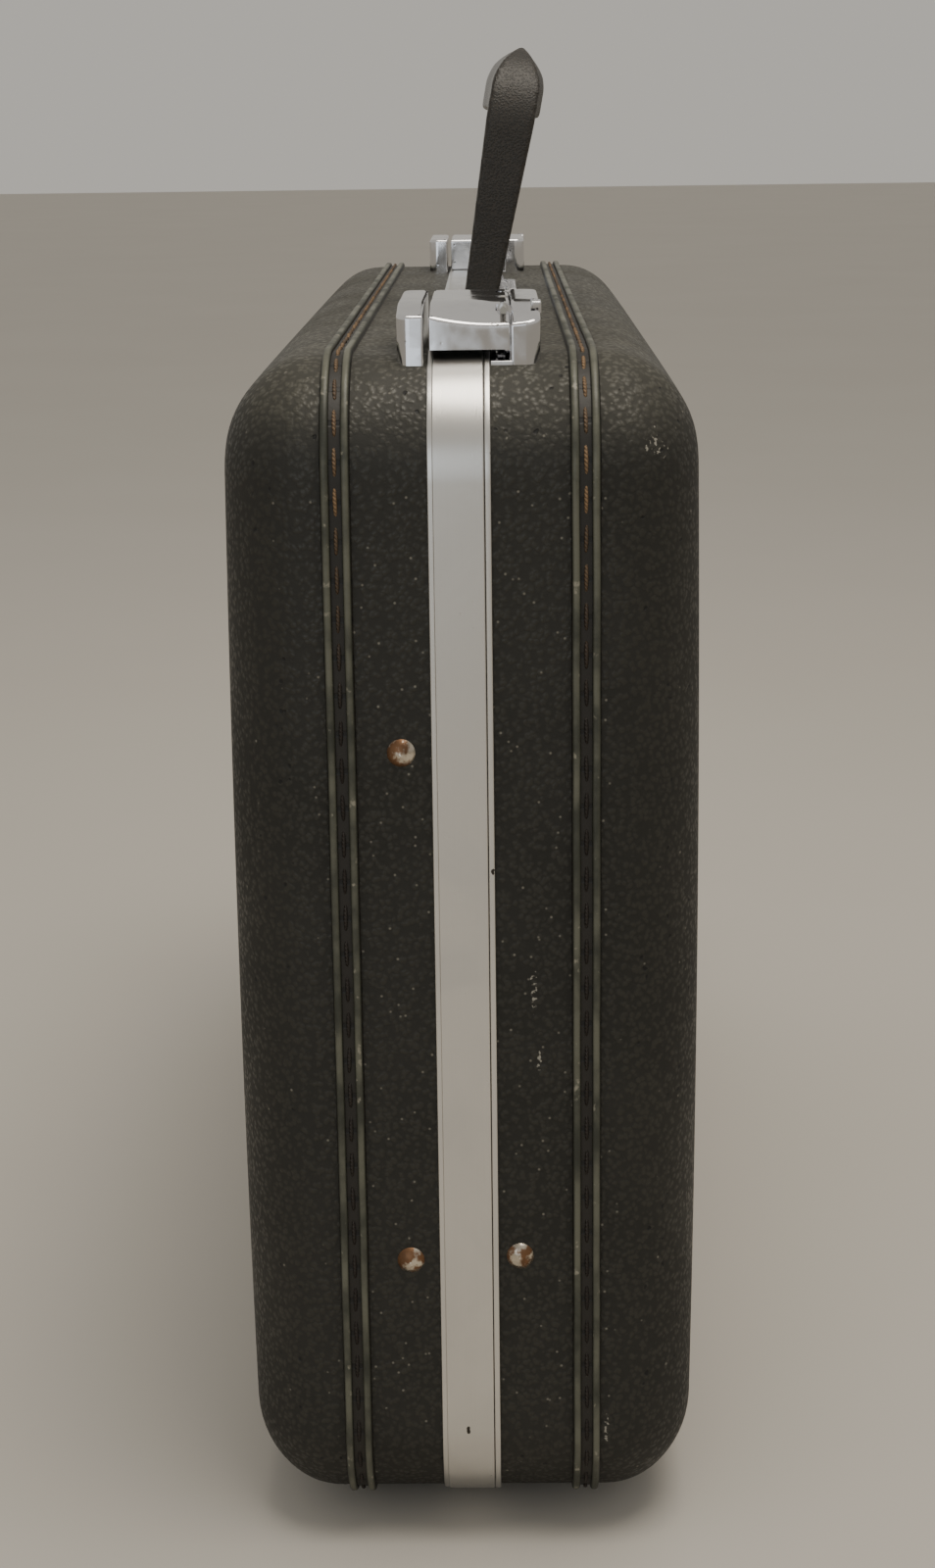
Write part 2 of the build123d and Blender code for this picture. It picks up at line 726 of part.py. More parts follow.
# ---- lid stays ----
slot_half = stud_radius + stud_slack
stud_y, stud_z = stud_place(0)
for name, side in (("left", -1), ("right", 1)):
    track_span = end_layer(side, track_outer, track_inner)
    ends = (stud_place(radians(lid_opening)), stud_place(0))
    track = yz_plate(path_strip(slot_half + track_margin), track_span)
    for rivet, path_end in zip(track_rivets, ends):
        track += yz_plate(capsule(rivet, path_end, track_tab_radius), track_span)
    track -= yz_plate(path_strip(slot_half), track_span)
    for y, z in track_rivets:
        track -= rod_x(stay_rivet_radius, *track_span, y, z)
    write(track, f"{name}_stay_track")

    spacers = [rivet_x(side, y, z, track_inner, 0, 0) for y, z in track_rivets]
    spacers = [
        rivet + (rod_x(stay_spacer_radius, *end_layer(side, leg_depth, track_outer), *place)
                 - rod_x(stay_rivet_radius, *end_layer(side, leg_depth, track_outer), *place))
        for rivet, place in zip(spacers, track_rivets)
    ]
    write(Compound(children=spacers), f"{name}_lid_stay_rivets")

    pivot = (stay_pivot_y, stay_pivot_z)
    base_rivet = rivet_x(side, *pivot, arm_inner + stay_spacer_gap, stay_rivet_head, stay_tail_height)
    base_rivet += rod_x(stay_spacer_radius, *end_layer(side, leg_depth, arm_outer - stay_spacer_gap), *pivot)
    write(base_rivet, f"{name}_base_stay_rivet")

    arm_span = end_layer(side, arm_outer, arm_inner)
    arm = yz_plate(capsule(pivot, (stud_y, stud_z), arm_width / 2), arm_span)
    arm -= rod_x(stay_rivet_radius + pin_clearance, *arm_span, *pivot)
    arm -= rod_x(stud_radius, *arm_span, stud_y, stud_z)
    write(arm, f"{name}_stay_arm")

    head_depth = track_outer - stud_slack
    stud = rod_x(stud_radius, *end_layer(side, head_depth, arm_inner), stud_y, stud_z)
    stud += rod_x(stud_radius + stud_head, *end_layer(side, head_depth - stud_head_height, head_depth),
                  stud_y, stud_z)
    write(stud, f"{name}_stay_stud")
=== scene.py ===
"""Looks of a hard-sided attache case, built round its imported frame.

Lengths are in metres and every piece lies in the frame's own axes: X runs along the case, Y from the
lid to the base, and Z up to the handle. Each sub-assembly is a class that holds its sizes, builds its
meshes and dresses them; each finish is a small class that makes one procedural material.
"""
import json
import logging
import math
import random
from dataclasses import dataclass
from enum import Enum
from functools import cache, cached_property
from typing import Callable, Iterable, Sequence

import bmesh
import bpy
from mathutils import Matrix, Vector, noise

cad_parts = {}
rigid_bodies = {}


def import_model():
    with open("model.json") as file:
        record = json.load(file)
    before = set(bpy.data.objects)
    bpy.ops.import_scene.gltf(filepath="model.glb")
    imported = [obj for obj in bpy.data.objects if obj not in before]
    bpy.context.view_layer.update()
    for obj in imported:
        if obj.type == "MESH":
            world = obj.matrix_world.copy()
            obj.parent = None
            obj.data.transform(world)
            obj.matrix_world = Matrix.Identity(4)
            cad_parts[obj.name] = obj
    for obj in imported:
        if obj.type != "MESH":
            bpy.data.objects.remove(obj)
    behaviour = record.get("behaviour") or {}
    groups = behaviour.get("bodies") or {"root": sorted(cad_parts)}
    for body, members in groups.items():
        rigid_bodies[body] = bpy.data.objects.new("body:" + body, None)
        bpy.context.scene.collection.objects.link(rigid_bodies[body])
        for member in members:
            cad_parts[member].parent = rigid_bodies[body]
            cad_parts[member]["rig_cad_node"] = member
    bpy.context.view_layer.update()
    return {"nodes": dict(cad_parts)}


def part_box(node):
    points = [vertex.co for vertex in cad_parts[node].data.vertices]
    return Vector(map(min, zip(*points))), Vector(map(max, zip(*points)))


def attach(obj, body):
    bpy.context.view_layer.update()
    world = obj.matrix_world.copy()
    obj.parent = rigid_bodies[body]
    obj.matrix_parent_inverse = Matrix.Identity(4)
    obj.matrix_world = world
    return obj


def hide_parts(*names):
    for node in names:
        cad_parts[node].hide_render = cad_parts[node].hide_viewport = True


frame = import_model()

LOG = logging.getLogger("attache_case")
MM = 0.001
NOISE_SEED = 7
Point = tuple[float, float]
Face = tuple[int, ...]


@cache
def box(node: str) -> tuple[Vector, Vector]:
    """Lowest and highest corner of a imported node, each node measured once."""
    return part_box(node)


class Half(Enum):
    """A half of the case, with the sign of Y on its side."""

    BASE = 1
    LID = -1

    @property
    def body(self) -> str:
        """Name of the frame's body that this half is."""
        return self.name.lower()


class End(Enum):
    """An end of the case, with the sign of X on its side."""

    LEFT = -1
    RIGHT = 1

    @property
    def side(self) -> str:
        """Word that the frame's node names start with at this end."""
        return self.name.lower()


# ---------------------------------------------------------------- shader graphs


class Graph:
    """Short ways to add and join nodes in one node tree."""

    def __init__(self, tree: bpy.types.NodeTree) -> None:
        """Keep the tree that the nodes go into.

        Args:
            tree: the node tree of a material or a node group.
        """
        self.tree = tree

    def add(self, kind: str, inputs: dict | None = None, **settings: object) -> bpy.types.Node:
        """Add a node, set it up and feed its inputs.

        Args:
            kind: the node's type name, without "ShaderNode".
            inputs: socket name or number to a value or to the socket that feeds it.
            settings: properties of the node.

        Returns:
            The node.
        """
        node = self.tree.nodes.new("ShaderNode" + kind)
        for key, value in settings.items():
            setattr(node, key, value)
        for key, value in (inputs or {}).items():
            if isinstance(value, bpy.types.NodeSocket):
                self.tree.links.new(value, node.inputs[key])
            else:
                node.inputs[key].default_value = value
        return node

    def math(self, operation: str, a: object, b: object = 0.0, clamp: bool = False) -> bpy.types.NodeSocket:
        """Result of one arithmetic step on two values or sockets."""
        return self.add("Math", {0: a, 1: b}, operation=operation, use_clamp=clamp).outputs[0]

    def span(self, value: object, low: float, high: float, to_low: float = 0.0,
             to_high: float = 1.0) -> bpy.types.NodeSocket:
        """Value moved smoothly from the range low..high to the range to_low..to_high, and kept in it."""
        inputs = {"Value": value, "From Min": low, "From Max": high, "To Min": to_low, "To Max": to_high}
        return self.add("MapRange", inputs, interpolation_type="SMOOTHSTEP").outputs[0]

    def mix(self, factor: object, a: object, b: object, blend: str = "MIX") -> bpy.types.NodeSocket:
        """Colour between a and b."""
        node = self.add("Mix", {0: factor, 6: a, 7: b}, data_type="RGBA", blend_type=blend)
        return node.outputs[2]

    def noise(self, vector: object, scale: float, detail: float = 3.0,
              roughness: float = 0.55) -> bpy.types.NodeSocket:
        """Cloudy value from 0 to 1."""
        inputs = {"Vector": vector, "Scale": scale, "Detail": detail, "Roughness": roughness}
        return self.add("TexNoise", inputs).outputs[0]

    def split(self, vector: object) -> Sequence[bpy.types.NodeSocket]:
        """The three components of a vector."""
        return self.add("SeparateXYZ", {0: vector}).outputs

    def stretch(self, vector: object, x: float, y: float, z: float) -> bpy.types.NodeSocket:
        """Vector with each component multiplied."""
        return self.add("VectorMath", {0: vector, 1: (x, y, z)}, operation="MULTIPLY").outputs[0]

    def place(self) -> bpy.types.NodeSocket:
        """Position in the frame's axes, which stays with the piece as it moves."""
        return self.add("TexCoord").outputs["Object"]

    def lie(self) -> bpy.types.NodeSocket:
        """The mesh's own (run, across, height) coordinates."""
        return self.add("Attribute", attribute_name="lie").outputs["Vector"]

    def group(self, tree: bpy.types.NodeTree, **inputs: object) -> bpy.types.Node:
        """Place a node group, its inputs given by name with _ for spaces."""
        node = self.tree.nodes.new("ShaderNodeGroup")
        node.node_tree = tree
        for key, value in inputs.items():
            socket = node.inputs[key.replace("_", " ")]
            if isinstance(value, bpy.types.NodeSocket):
                self.tree.links.new(value, socket)
            else:
                socket.default_value = value
        return node


class GroupLibrary:
    """The node groups that several finishes share, each built once."""

    def start(self, name: str, inputs: dict[str, tuple[str, object]],
              outputs: dict[str, str]) -> tuple[Graph, bpy.types.Node, bpy.types.Node]:
        """Open a new group with named sockets.

        Args:
            name: the group's name.
            inputs: socket name to (socket type, default value).
            outputs: socket name to socket type.

        Returns:
            The group's graph, its input node and its output node.
        """
        tree = bpy.data.node_groups.new(name, "ShaderNodeTree")
        for label, (kind, value) in inputs.items():
            socket = tree.interface.new_socket(label, in_out="INPUT", socket_type="NodeSocket" + kind)
            socket.default_value = value
        for label, kind in outputs.items():
            tree.interface.new_socket(label, in_out="OUTPUT", socket_type="NodeSocket" + kind)
        return Graph(tree), tree.nodes.new("NodeGroupInput"), tree.nodes.new("NodeGroupOutput")

    @cached_property
    def pebble(self) -> bpy.types.NodeTree:
        """Pebbled grain: raised grains, fine creases and scattered pinholes."""
        g, source, result = self.start(
            "pebble_grain",
            {"Vector": ("Vector", (0, 0, 0)), "Grains per metre": ("Float", 600.0),
             "Pinholes": ("Float", 0.2)},
            {"Height": "Float", "Pinhole mask": "Float", "Grain tone": "Float"},
        )
        inputs = {0: source.outputs[0], "Scale": source.outputs[1]}
        scaled = g.add("VectorMath", inputs, operation="SCALE").outputs[0]
        wander = g.add("TexNoise", {"Vector": scaled, "Scale": 0.7, "Detail": 2.0}).outputs[1]
        warped = g.add("VectorMath", {0: scaled, 1: wander}, operation="ADD").outputs[0]
        grain = g.add("TexVoronoi", {"Vector": warped, "Scale": 1.0, "Smoothness": 0.35}, feature="SMOOTH_F1")
        dome = g.span(grain.outputs["Distance"], 0.05, 0.75, 1.0, 0.0)
        crease = g.noise(scaled, 2.6, 2.0)
        holes = g.add("TexVoronoi", {"Vector": warped, "Scale": 0.42}, feature="F1")
        chance = g.split(holes.outputs["Color"])[0]
        wanted = g.math("LESS_THAN", chance, source.outputs[2])
        near = g.span(holes.outputs["Distance"], 0.08, 0.2, 1.0, 0.0)
        pinhole = g.math("MULTIPLY", near, wanted)
        height = g.math("ADD", dome, g.math("MULTIPLY", crease, 0.35))
        height = g.math("SUBTRACT", height, g.math("MULTIPLY", pinhole, 1.3))
        g.tree.links.new(height, result.inputs[0])
        g.tree.links.new(pinhole, result.inputs[1])
        g.tree.links.new(g.split(grain.outputs["Color"])[1], result.inputs[2])
        return g.tree

    @cached_property
    def scuff(self) -> bpy.types.NodeTree:
        """Broken, speckled mark inside an ellipsoid about a centre."""
        g, source, result = self.start(
            "scuff_mark",
            {"Vector": ("Vector", (0, 0, 0)), "Centre": ("Vector", (0, 0, 0)), "Reach": ("Vector", (1, 1, 1)),
             "Speckle": ("Float", 900.0), "Amount": ("Float", 0.5)},
            {"Mask": "Float"},
        )
        inputs = {0: source.outputs[0], 1: source.outputs[1]}
        apart = g.add("VectorMath", inputs, operation="SUBTRACT").outputs[0]
        share = g.add("VectorMath", {0: apart, 1: source.outputs[2]}, operation="DIVIDE").outputs[0]
        length = g.add("VectorMath", {0: share}, operation="LENGTH").outputs["Value"]
        body = g.span(length, 0.25, 1.0, 1.0, 0.0)
        inputs = {"Vector": source.outputs[0], "Scale": source.outputs[3], "Detail": 3.0}
        speck = g.add("TexNoise", inputs).outputs[0]
        edge = g.math("SUBTRACT", g.math("ADD", speck, g.math("MULTIPLY", body, source.outputs[4])), 0.82)
        mask = g.math("MULTIPLY", g.span(edge, 0.0, 0.08), g.span(body, 0.0, 0.15))
        g.tree.links.new(mask, result.inputs[0])
        return g.tree

    @cached_property
    def handling(self) -> bpy.types.NodeTree:
        """Smudges, hairline scratches and specks that handling leaves on a hard surface."""
        g, source, result = self.start(
            "handling_marks",
            {"Vector": ("Vector", (0, 0, 0)), "Smudge size": ("Float", 60.0), "Scratches": ("Float", 0.5)},
            {"Smudge": "Float", "Scratch": "Float", "Specks": "Float"},
        )
        cloud = g.add("TexNoise", {"Vector": source.outputs[0], "Scale": source.outputs[1], "Detail": 5.0,
                                   "Distortion": 0.6}).outputs[0]
        smudge = g.span(cloud, 0.42, 0.68)
        inputs = {"Vector": source.outputs[0], "Angle": 0.6}
        slanted = g.add("VectorRotate", inputs, rotation_type="Y_AXIS").outputs[0]
        hair = g.noise(g.stretch(slanted, 900.0, 900.0, 25.0), 1.0, 2.0)
        scratch = g.math("MULTIPLY", g.span(hair, 0.7, 0.78), source.outputs[2])
        speck = g.add("TexVoronoi", {"Vector": source.outputs[0], "Scale": 420.0})
        rare = g.math("LESS_THAN", g.split(speck.outputs["Color"])[0], 0.07)
        specks = g.math("MULTIPLY", g.span(speck.outputs["Distance"], 0.05, 0.22, 1.0, 0.0), rare)
        for index, value in enumerate((smudge, scratch, specks)):
            g.tree.links.new(value, result.inputs[index])
        return g.tree

    @cached_property
    def weave(self) -> bpy.types.NodeTree:
        """Plain weave on the plane that a surface faces most."""
        g, source, result = self.start(
            "plain_weave",
            {"Vector": ("Vector", (0, 0, 0)), "Facing": ("Vector", (0, 0, 1)),
             "Threads per metre": ("Float", 1600.0)},
            {"Height": "Float", "Thread tone": "Float"},
        )
        turn = g.math("MULTIPLY", source.outputs[2], math.pi)
        waves = [g.math("SINE", g.math("MULTIPLY", part, turn)) for part in g.split(source.outputs[0])]
        facing = [g.math("ABSOLUTE", part) for part in g.split(source.outputs[1])]
        total: object = 0.0
        for index, share in enumerate(facing):
            first, second = waves[(index + 1) % 3], waves[(index + 2) % 3]
            cloth = g.math("MULTIPLY", first, second)
            total = g.math("ADD", total, g.math("MULTIPLY", cloth, g.span(share, 0.5, 0.8)))
        slub = g.noise(source.outputs[0], 500.0, 3.0)
        g.tree.links.new(g.math("MULTIPLY_ADD", total, 0.5), result.inputs[0])
        g.tree.links.new(slub, result.inputs[1])
        return g.tree


groups = GroupLibrary()


# ---------------------------------------------------------------- finishes


@dataclass(frozen=True)
class Finish:
    """One surface finish: a record slot and the way its material is made."""

    name: str
    slot: str

    def shade(self, g: Graph, shader: bpy.types.Node) -> None:
        """Fill in the shader; each finish has its own.

        Args:
            g: the material's graph.
            shader: its Principled BSDF.
        """
        raise NotImplementedError

    def bump(self, g: Graph, shader: bpy.types.Node, height: object, depth: float,
             strength: float = 1.0) -> None:
        """Raise the surface by height times depth metres."""
        node = g.add("Bump", {"Height": height, "Distance": depth, "Strength": strength})
        g.tree.links.new(node.outputs[0], shader.inputs["Normal"])

    def feed(self, g: Graph, shader: bpy.types.Node, **inputs: object) -> None:
        """Set or feed the shader's sockets, given by name with _ for spaces."""
        for key, value in inputs.items():
            socket = shader.inputs[key.replace("_", " ")]
            if isinstance(value, bpy.types.NodeSocket):
                g.tree.links.new(value, socket)
            else:
                socket.default_value = value

    def material(self) -> bpy.types.Material:
        """The finish's material, made at its first use."""
        found = bpy.data.materials.get(self.name)
        if found:
            return found
        made = bpy.data.materials.new(self.name)
        made.use_nodes = True
        self.shade(Graph(made.node_tree), made.node_tree.nodes["Principled BSDF"])
        return made

    def dress(self, piece: bpy.types.Object) -> None:
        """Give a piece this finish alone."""
        piece.data.materials.clear()
        piece.data.materials.append(self.material())


@dataclass(frozen=True)
class Scuff:
    """A worn mark: where it is, how far it reaches along each axis and how dense it is."""

    centre: tuple[float, float, float]
    reach: tuple[float, float, float]
    amount: float = 0.5

# Lower the cap's top to the latch's form.

@dataclass(frozen=True)
class PebbledShell(Finish):
    """Moulded shell skin: near-black olive, pebbled, dusty and painted lighter on top where the light falls,
    scuffed at the corners.
    """

    scuffs: tuple[Scuff, ...] = ()

    def shade(self, g: Graph, shader: bpy.types.Node) -> None:
        """See Finish.shade."""
        place = g.place()
        grain = g.group(groups.pebble, Vector=place, Grains_per_metre=620.0, Pinholes=0.3)
        marks = g.group(groups.handling, Vector=place, Smudge_size=16.0, Scratches=0.25)
        cloud = g.noise(place, 9.0, 4.0)
        colour = g.mix(cloud, (0.0130, 0.0125, 0.0095, 1), (0.0225, 0.0215, 0.0160, 1))
        colour = g.mix(g.math("MULTIPLY", grain.outputs[2], 0.35), colour, (0.030, 0.028, 0.021, 1))
        # Painted light: faces turned up are made lighter where the overhead light falls on them, with patchy
        # dust mixed in.
        up = g.split(g.add("TexCoord").outputs["Normal"])[2]
        dust_and_top_light = g.math("MULTIPLY", g.span(up, 0.1, 0.95),
                      g.span(g.noise(place, 40.0, 5.0), 0.25, 0.7, 0.35, 0.8))
        colour = g.mix(dust_and_top_light, colour, (0.085, 0.080, 0.060, 1))
        # Painted shade: the hollows between the grains are darkened.
        low = g.span(grain.outputs[0], 0.2, 0.8, 1.0, 0.0)
        colour = g.mix(g.math("MULTIPLY", low, 0.45), colour, (0.006, 0.006, 0.005, 1))
        colour = g.mix(g.math("MULTIPLY", marks.outputs[2], 0.55), colour, (0.30, 0.28, 0.23, 1))
        for scuff in self.scuffs:
            mark = g.group(groups.scuff, Vector=place, Centre=scuff.centre, Reach=scuff.reach,
                           Amount=scuff.amount)
            colour = g.mix(g.math("MULTIPLY", mark.outputs[0], 0.8), colour, (0.36, 0.34, 0.29, 1))
        colour = g.mix(grain.outputs[1], colour, (0.002, 0.002, 0.002, 1))
        rough = g.span(grain.outputs[0], 0.3, 1.2, 0.62, 0.36)
        rough = g.math("ADD", rough, g.math("MULTIPLY", marks.outputs[0], 0.12))
        self.feed(g, shader, Base_Color=colour, Roughness=rough, Specular_IOR_Level=0.45)
        self.bump(g, shader, grain.outputs[0], 0.16 * MM, 0.9)


@dataclass(frozen=True)
class WeltVinyl(Finish):
    """Welt: green-black vinyl, worn pale on the crests, with painted shade and needle holes in the channel.
    """

    stitch_pitch: float = 10 * MM
    crest: float = 1.3 * MM
    channel: float = 0.8 * MM

    def shade(self, g: Graph, shader: bpy.types.Node) -> None:
        """See Finish.shade."""
        place = g.place()
        run, _, height = g.split(g.lie())
        streak = g.noise(g.stretch(g.lie(), 70.0, 1500.0, 900.0), 1.0, 4.0)
        colour = g.mix(streak, (0.016, 0.018, 0.012, 1), (0.036, 0.039, 0.027, 1))
        crest = g.math("MULTIPLY", g.span(height, self.crest, self.crest + 0.5 * MM),
                       g.span(g.noise(place, 55.0, 5.0), 0.32, 0.62))
        colour = g.mix(g.math("MULTIPLY", crest, 0.85), colour, (0.135, 0.135, 0.100, 1))
        bare = g.math("MULTIPLY", g.span(height, self.crest, self.crest + 0.5 * MM),
                      g.span(g.noise(place, 260.0, 4.0), 0.62, 0.70))
        colour = g.mix(g.math("MULTIPLY", bare, 0.8), colour, (0.30, 0.28, 0.22, 1))
        # Painted shade: the channel's floor between the ribs is darkened where the ribs shade it; the needle
        # holes lie inside this shade.
        channel_shade = g.span(height, self.channel, self.channel + 0.4 * MM, 1.0, 0.0)
        colour = g.mix(g.math("MULTIPLY", channel_shade, 0.85), colour, (0.010, 0.007, 0.005, 1))
        beat = g.math("PINGPONG", g.math("ADD", run, self.stitch_pitch / 2), self.stitch_pitch / 2)
        hole = g.math("MULTIPLY", g.span(beat, 0.5 * MM, 1.0 * MM, 1.0, 0.0), channel_shade)
        colour = g.mix(hole, colour, (0.001, 0.001, 0.001, 1))
        rough = g.math("SUBTRACT", 0.52, g.math("MULTIPLY", crest, 0.12))
        self.feed(g, shader, Base_Color=colour, Roughness=rough)
        dent = g.math("SUBTRACT", g.math("MULTIPLY", g.noise(place, 900.0, 3.0), 0.5), hole)
        self.bump(g, shader, dent, 0.12 * MM, 0.8)


@dataclass(frozen=True)
class WaxedThread(Finish):
    """Two-ply thread, painted light tan near the top of the case where the light falls and dark brown in
    painted shade lower down.
    """

    clean_above: float = 0.30

    def shade(self, g: Graph, shader: bpy.types.Node) -> None:
        """See Finish.shade."""
        place = g.place()
        run, turn, tone = g.split(g.lie())
        ply = g.math("SINE", g.math("ADD", g.math("MULTIPLY", run, 5200.0), g.math("MULTIPLY", turn, 2.0)))
        height = g.split(place)[2]
        # Painted light and shade: the thread is tan near the top of the case and dark brown lower down, as
        # the overhead light falls.
        lit_share = g.span(height, self.clean_above - 60 * MM, self.clean_above, 0.0, 0.9)
        lit_share = g.math("MULTIPLY", lit_share, g.span(tone, 0.0, 1.0, 0.35, 1.0))
        colour = g.mix(lit_share, (0.014, 0.009, 0.006, 1), (0.30, 0.185, 0.095, 1))
        # Painted shade: the groove between the two plies is darkened.
        colour = g.mix(g.span(ply, -1.0, 0.2, 0.6, 0.0), colour, (0.012, 0.007, 0.004, 1))
        self.feed(g, shader, Base_Color=colour, Roughness=g.span(tone, 0.0, 1.0, 0.55, 0.75))
        self.bump(g, shader, ply, 0.08 * MM, 0.8)


@dataclass(frozen=True)
class SatinAluminium(Finish):
    """Satin band metal: lengthwise brushing, dull smears and a few nicks."""

    tone: tuple[float, float, float] = (0.70, 0.685, 0.655)
    roughness: float = 0.30
    scuffs: tuple[Scuff, ...] = ()

    def shade(self, g: Graph, shader: bpy.types.Node) -> None:
        """See Finish.shade."""
        place = g.place()
        marks = g.group(groups.handling, Vector=place, Smudge_size=30.0, Scratches=0.5)
        brush = g.noise(g.stretch(g.lie(), 35.0, 14000.0, 14000.0), 1.0, 3.0)
        colour = g.mix(g.math("MULTIPLY", brush, 0.5), (*self.tone, 1), (*(0.8 * c for c in self.tone), 1))
        colour = g.mix(g.math("MULTIPLY", marks.outputs[0], 0.22), colour, (0.46, 0.44, 0.41, 1))
        colour = g.mix(g.math("MULTIPLY", marks.outputs[2], 0.5), colour, (0.16, 0.14, 0.12, 1))
        for scuff in self.scuffs:
            mark = g.group(groups.scuff, Vector=place, Centre=scuff.centre, Reach=scuff.reach,
                           Amount=scuff.amount)
            colour = g.mix(mark.outputs[0], colour, (0.05, 0.045, 0.04, 1))
        rough = g.math("ADD", g.math("MULTIPLY", brush, 0.10), self.roughness - 0.05)
        rough = g.math("ADD", rough, g.math("MULTIPLY", marks.outputs[0], 0.08))
        rough = g.math("SUBTRACT", rough, g.math("MULTIPLY", marks.outputs[1], 0.12))
        self.feed(g, shader, Base_Color=colour, Metallic=1.0, Roughness=rough)
        self.bump(g, shader, g.math("SUBTRACT", brush, marks.outputs[1]), 0.012 * MM, 0.6)


@dataclass(frozen=True)
class BrightPlate(Finish):
    """Bright chrome plate with finger smears, fine scratches and pin-prick pits."""

    tone: tuple[float, float, float] = (0.80, 0.80, 0.82)
    roughness: float = 0.07

    def shade(self, g: Graph, shader: bpy.types.Node) -> None:
        """See Finish.shade."""
        place = g.place()
        marks = g.group(groups.handling, Vector=place, Smudge_size=110.0, Scratches=0.6)
        colour = g.mix(g.math("MULTIPLY", marks.outputs[0], 0.3), (*self.tone, 1), (0.60, 0.60, 0.62, 1))
        colour = g.mix(g.math("MULTIPLY", marks.outputs[2], 0.8), colour, (0.10, 0.08, 0.06, 1))
        rough = g.math("ADD", self.roughness, g.math("MULTIPLY", marks.outputs[0], 0.10))
        rough = g.math("ADD", rough, g.math("MULTIPLY", marks.outputs[1], 0.15))
        self.feed(g, shader, Base_Color=colour, Metallic=1.0, Roughness=rough)
        wave = g.noise(place, 130.0, 2.0)
        self.bump(g, shader, g.math("SUBTRACT", wave, marks.outputs[2]), 0.05 * MM, 0.35)


@dataclass(frozen=True)
class WornRivet(Finish):
    """Nickel-plated rivet rubbed through to brown brass."""

    def shade(self, g: Graph, shader: bpy.types.Node) -> None:
        """See Finish.shade."""
        place = g.place()
        patch = g.span(g.noise(place, 260.0, 4.0), 0.44, 0.56)
        colour = g.mix(patch, (0.62, 0.56, 0.47, 1), (0.20, 0.105, 0.055, 1))
        specks = g.group(groups.handling, Vector=place, Smudge_size=300.0, Scratches=0.8)
        colour = g.mix(g.math("MULTIPLY", specks.outputs[0], 0.4), colour, (0.07, 0.045, 0.03, 1))
        rough = g.span(patch, 0.0, 1.0, 0.22, 0.42)
        self.feed(g, shader, Base_Color=colour, Metallic=g.span(patch, 0.0, 1.0, 1.0, 0.85), Roughness=rough)
        self.bump(g, shader, g.noise(place, 1500.0, 3.0), 0.06 * MM, 0.6)


@dataclass(frozen=True)
class PlatedSteel(Finish):
    """Plain zinc-plated steel of the inside fittings."""

    def shade(self, g: Graph, shader: bpy.types.Node) -> None:
        """See Finish.shade."""
        place = g.place()
        marks = g.group(groups.handling, Vector=place, Smudge_size=70.0, Scratches=0.8)
        colour = g.mix(marks.outputs[0], (0.50, 0.49, 0.46, 1), (0.36, 0.345, 0.31, 1))
        rough = g.span(g.noise(place, 500.0, 4.0), 0.3, 0.7, 0.28, 0.46)
        self.feed(g, shader, Base_Color=colour, Metallic=1.0, Roughness=rough)
        self.bump(g, shader, g.math("SUBTRACT", g.noise(place, 700.0, 3.0), marks.outputs[1]), 0.02 * MM, 0.5)


@dataclass(frozen=True)
class HandleVinyl(Finish):
    """Finely grained black vinyl with dust in the grain and a shine where a hand holds it."""

    shine_below: float = 0.0

    def shade(self, g: Graph, shader: bpy.types.Node) -> None:
        """See Finish.shade."""
        place = g.place()
        grain = g.group(groups.pebble, Vector=place, Grains_per_metre=1500.0, Pinholes=0.0)
        cloud = g.noise(place, 45.0, 4.0)
        colour = g.mix(cloud, (0.010, 0.009, 0.008, 1), (0.021, 0.018, 0.014, 1))
        low = g.span(grain.outputs[0], 0.1, 0.6, 1.0, 0.0)
        colour = g.mix(g.math("MULTIPLY", low, 0.5), colour, (0.042, 0.033, 0.024, 1))
        across = g.split(g.add("TexCoord").outputs["Normal"])[1]
        shine = g.span(across, -0.75, self.shine_below, 1.0, 0.0)
        rough = g.math("SUBTRACT", g.span(cloud, 0.3, 0.7, 0.55, 0.46), g.math("MULTIPLY", shine, 0.26))
        self.feed(g, shader, Base_Color=colour, Roughness=rough)
        height = g.math("MULTIPLY", grain.outputs[0], g.math("SUBTRACT", 1.0, g.math("MULTIPLY", shine, 0.7)))
        self.bump(g, shader, height, 0.09 * MM, 0.9)


@dataclass(frozen=True)
class WovenCloth(Finish):
    """Plain-woven cloth for the lining and the pocket."""

    dark: tuple[float, float, float] = (0.13, 0.115, 0.09)
    light: tuple[float, float, float] = (0.26, 0.235, 0.19)
    threads: float = 1500.0

    def shade(self, g: Graph, shader: bpy.types.Node) -> None:
        """See Finish.shade."""
        place = g.place()
        facing = g.add("TexCoord").outputs["Normal"]
        weave = g.group(groups.weave, Vector=place, Facing=facing, Threads_per_metre=self.threads)
        tone = g.math("ADD", g.math("MULTIPLY", weave.outputs[1], 0.7),
                      g.math("MULTIPLY", weave.outputs[0], 0.5))
        colour = g.mix(tone, (*self.dark, 1), (*self.light, 1))
        stain = g.span(g.noise(place, 14.0, 4.0), 0.45, 0.75, 0.0, 0.25)
        colour = g.mix(stain, colour, (0.10, 0.085, 0.065, 1))
        self.feed(g, shader, Base_Color=colour, Roughness=g.span(weave.outputs[1], 0.2, 0.8, 0.8, 0.95),
                  Sheen_Weight=0.25, Sheen_Roughness=0.4)
        self.bump(g, shader, weave.outputs[0], 0.10 * MM, 0.7)


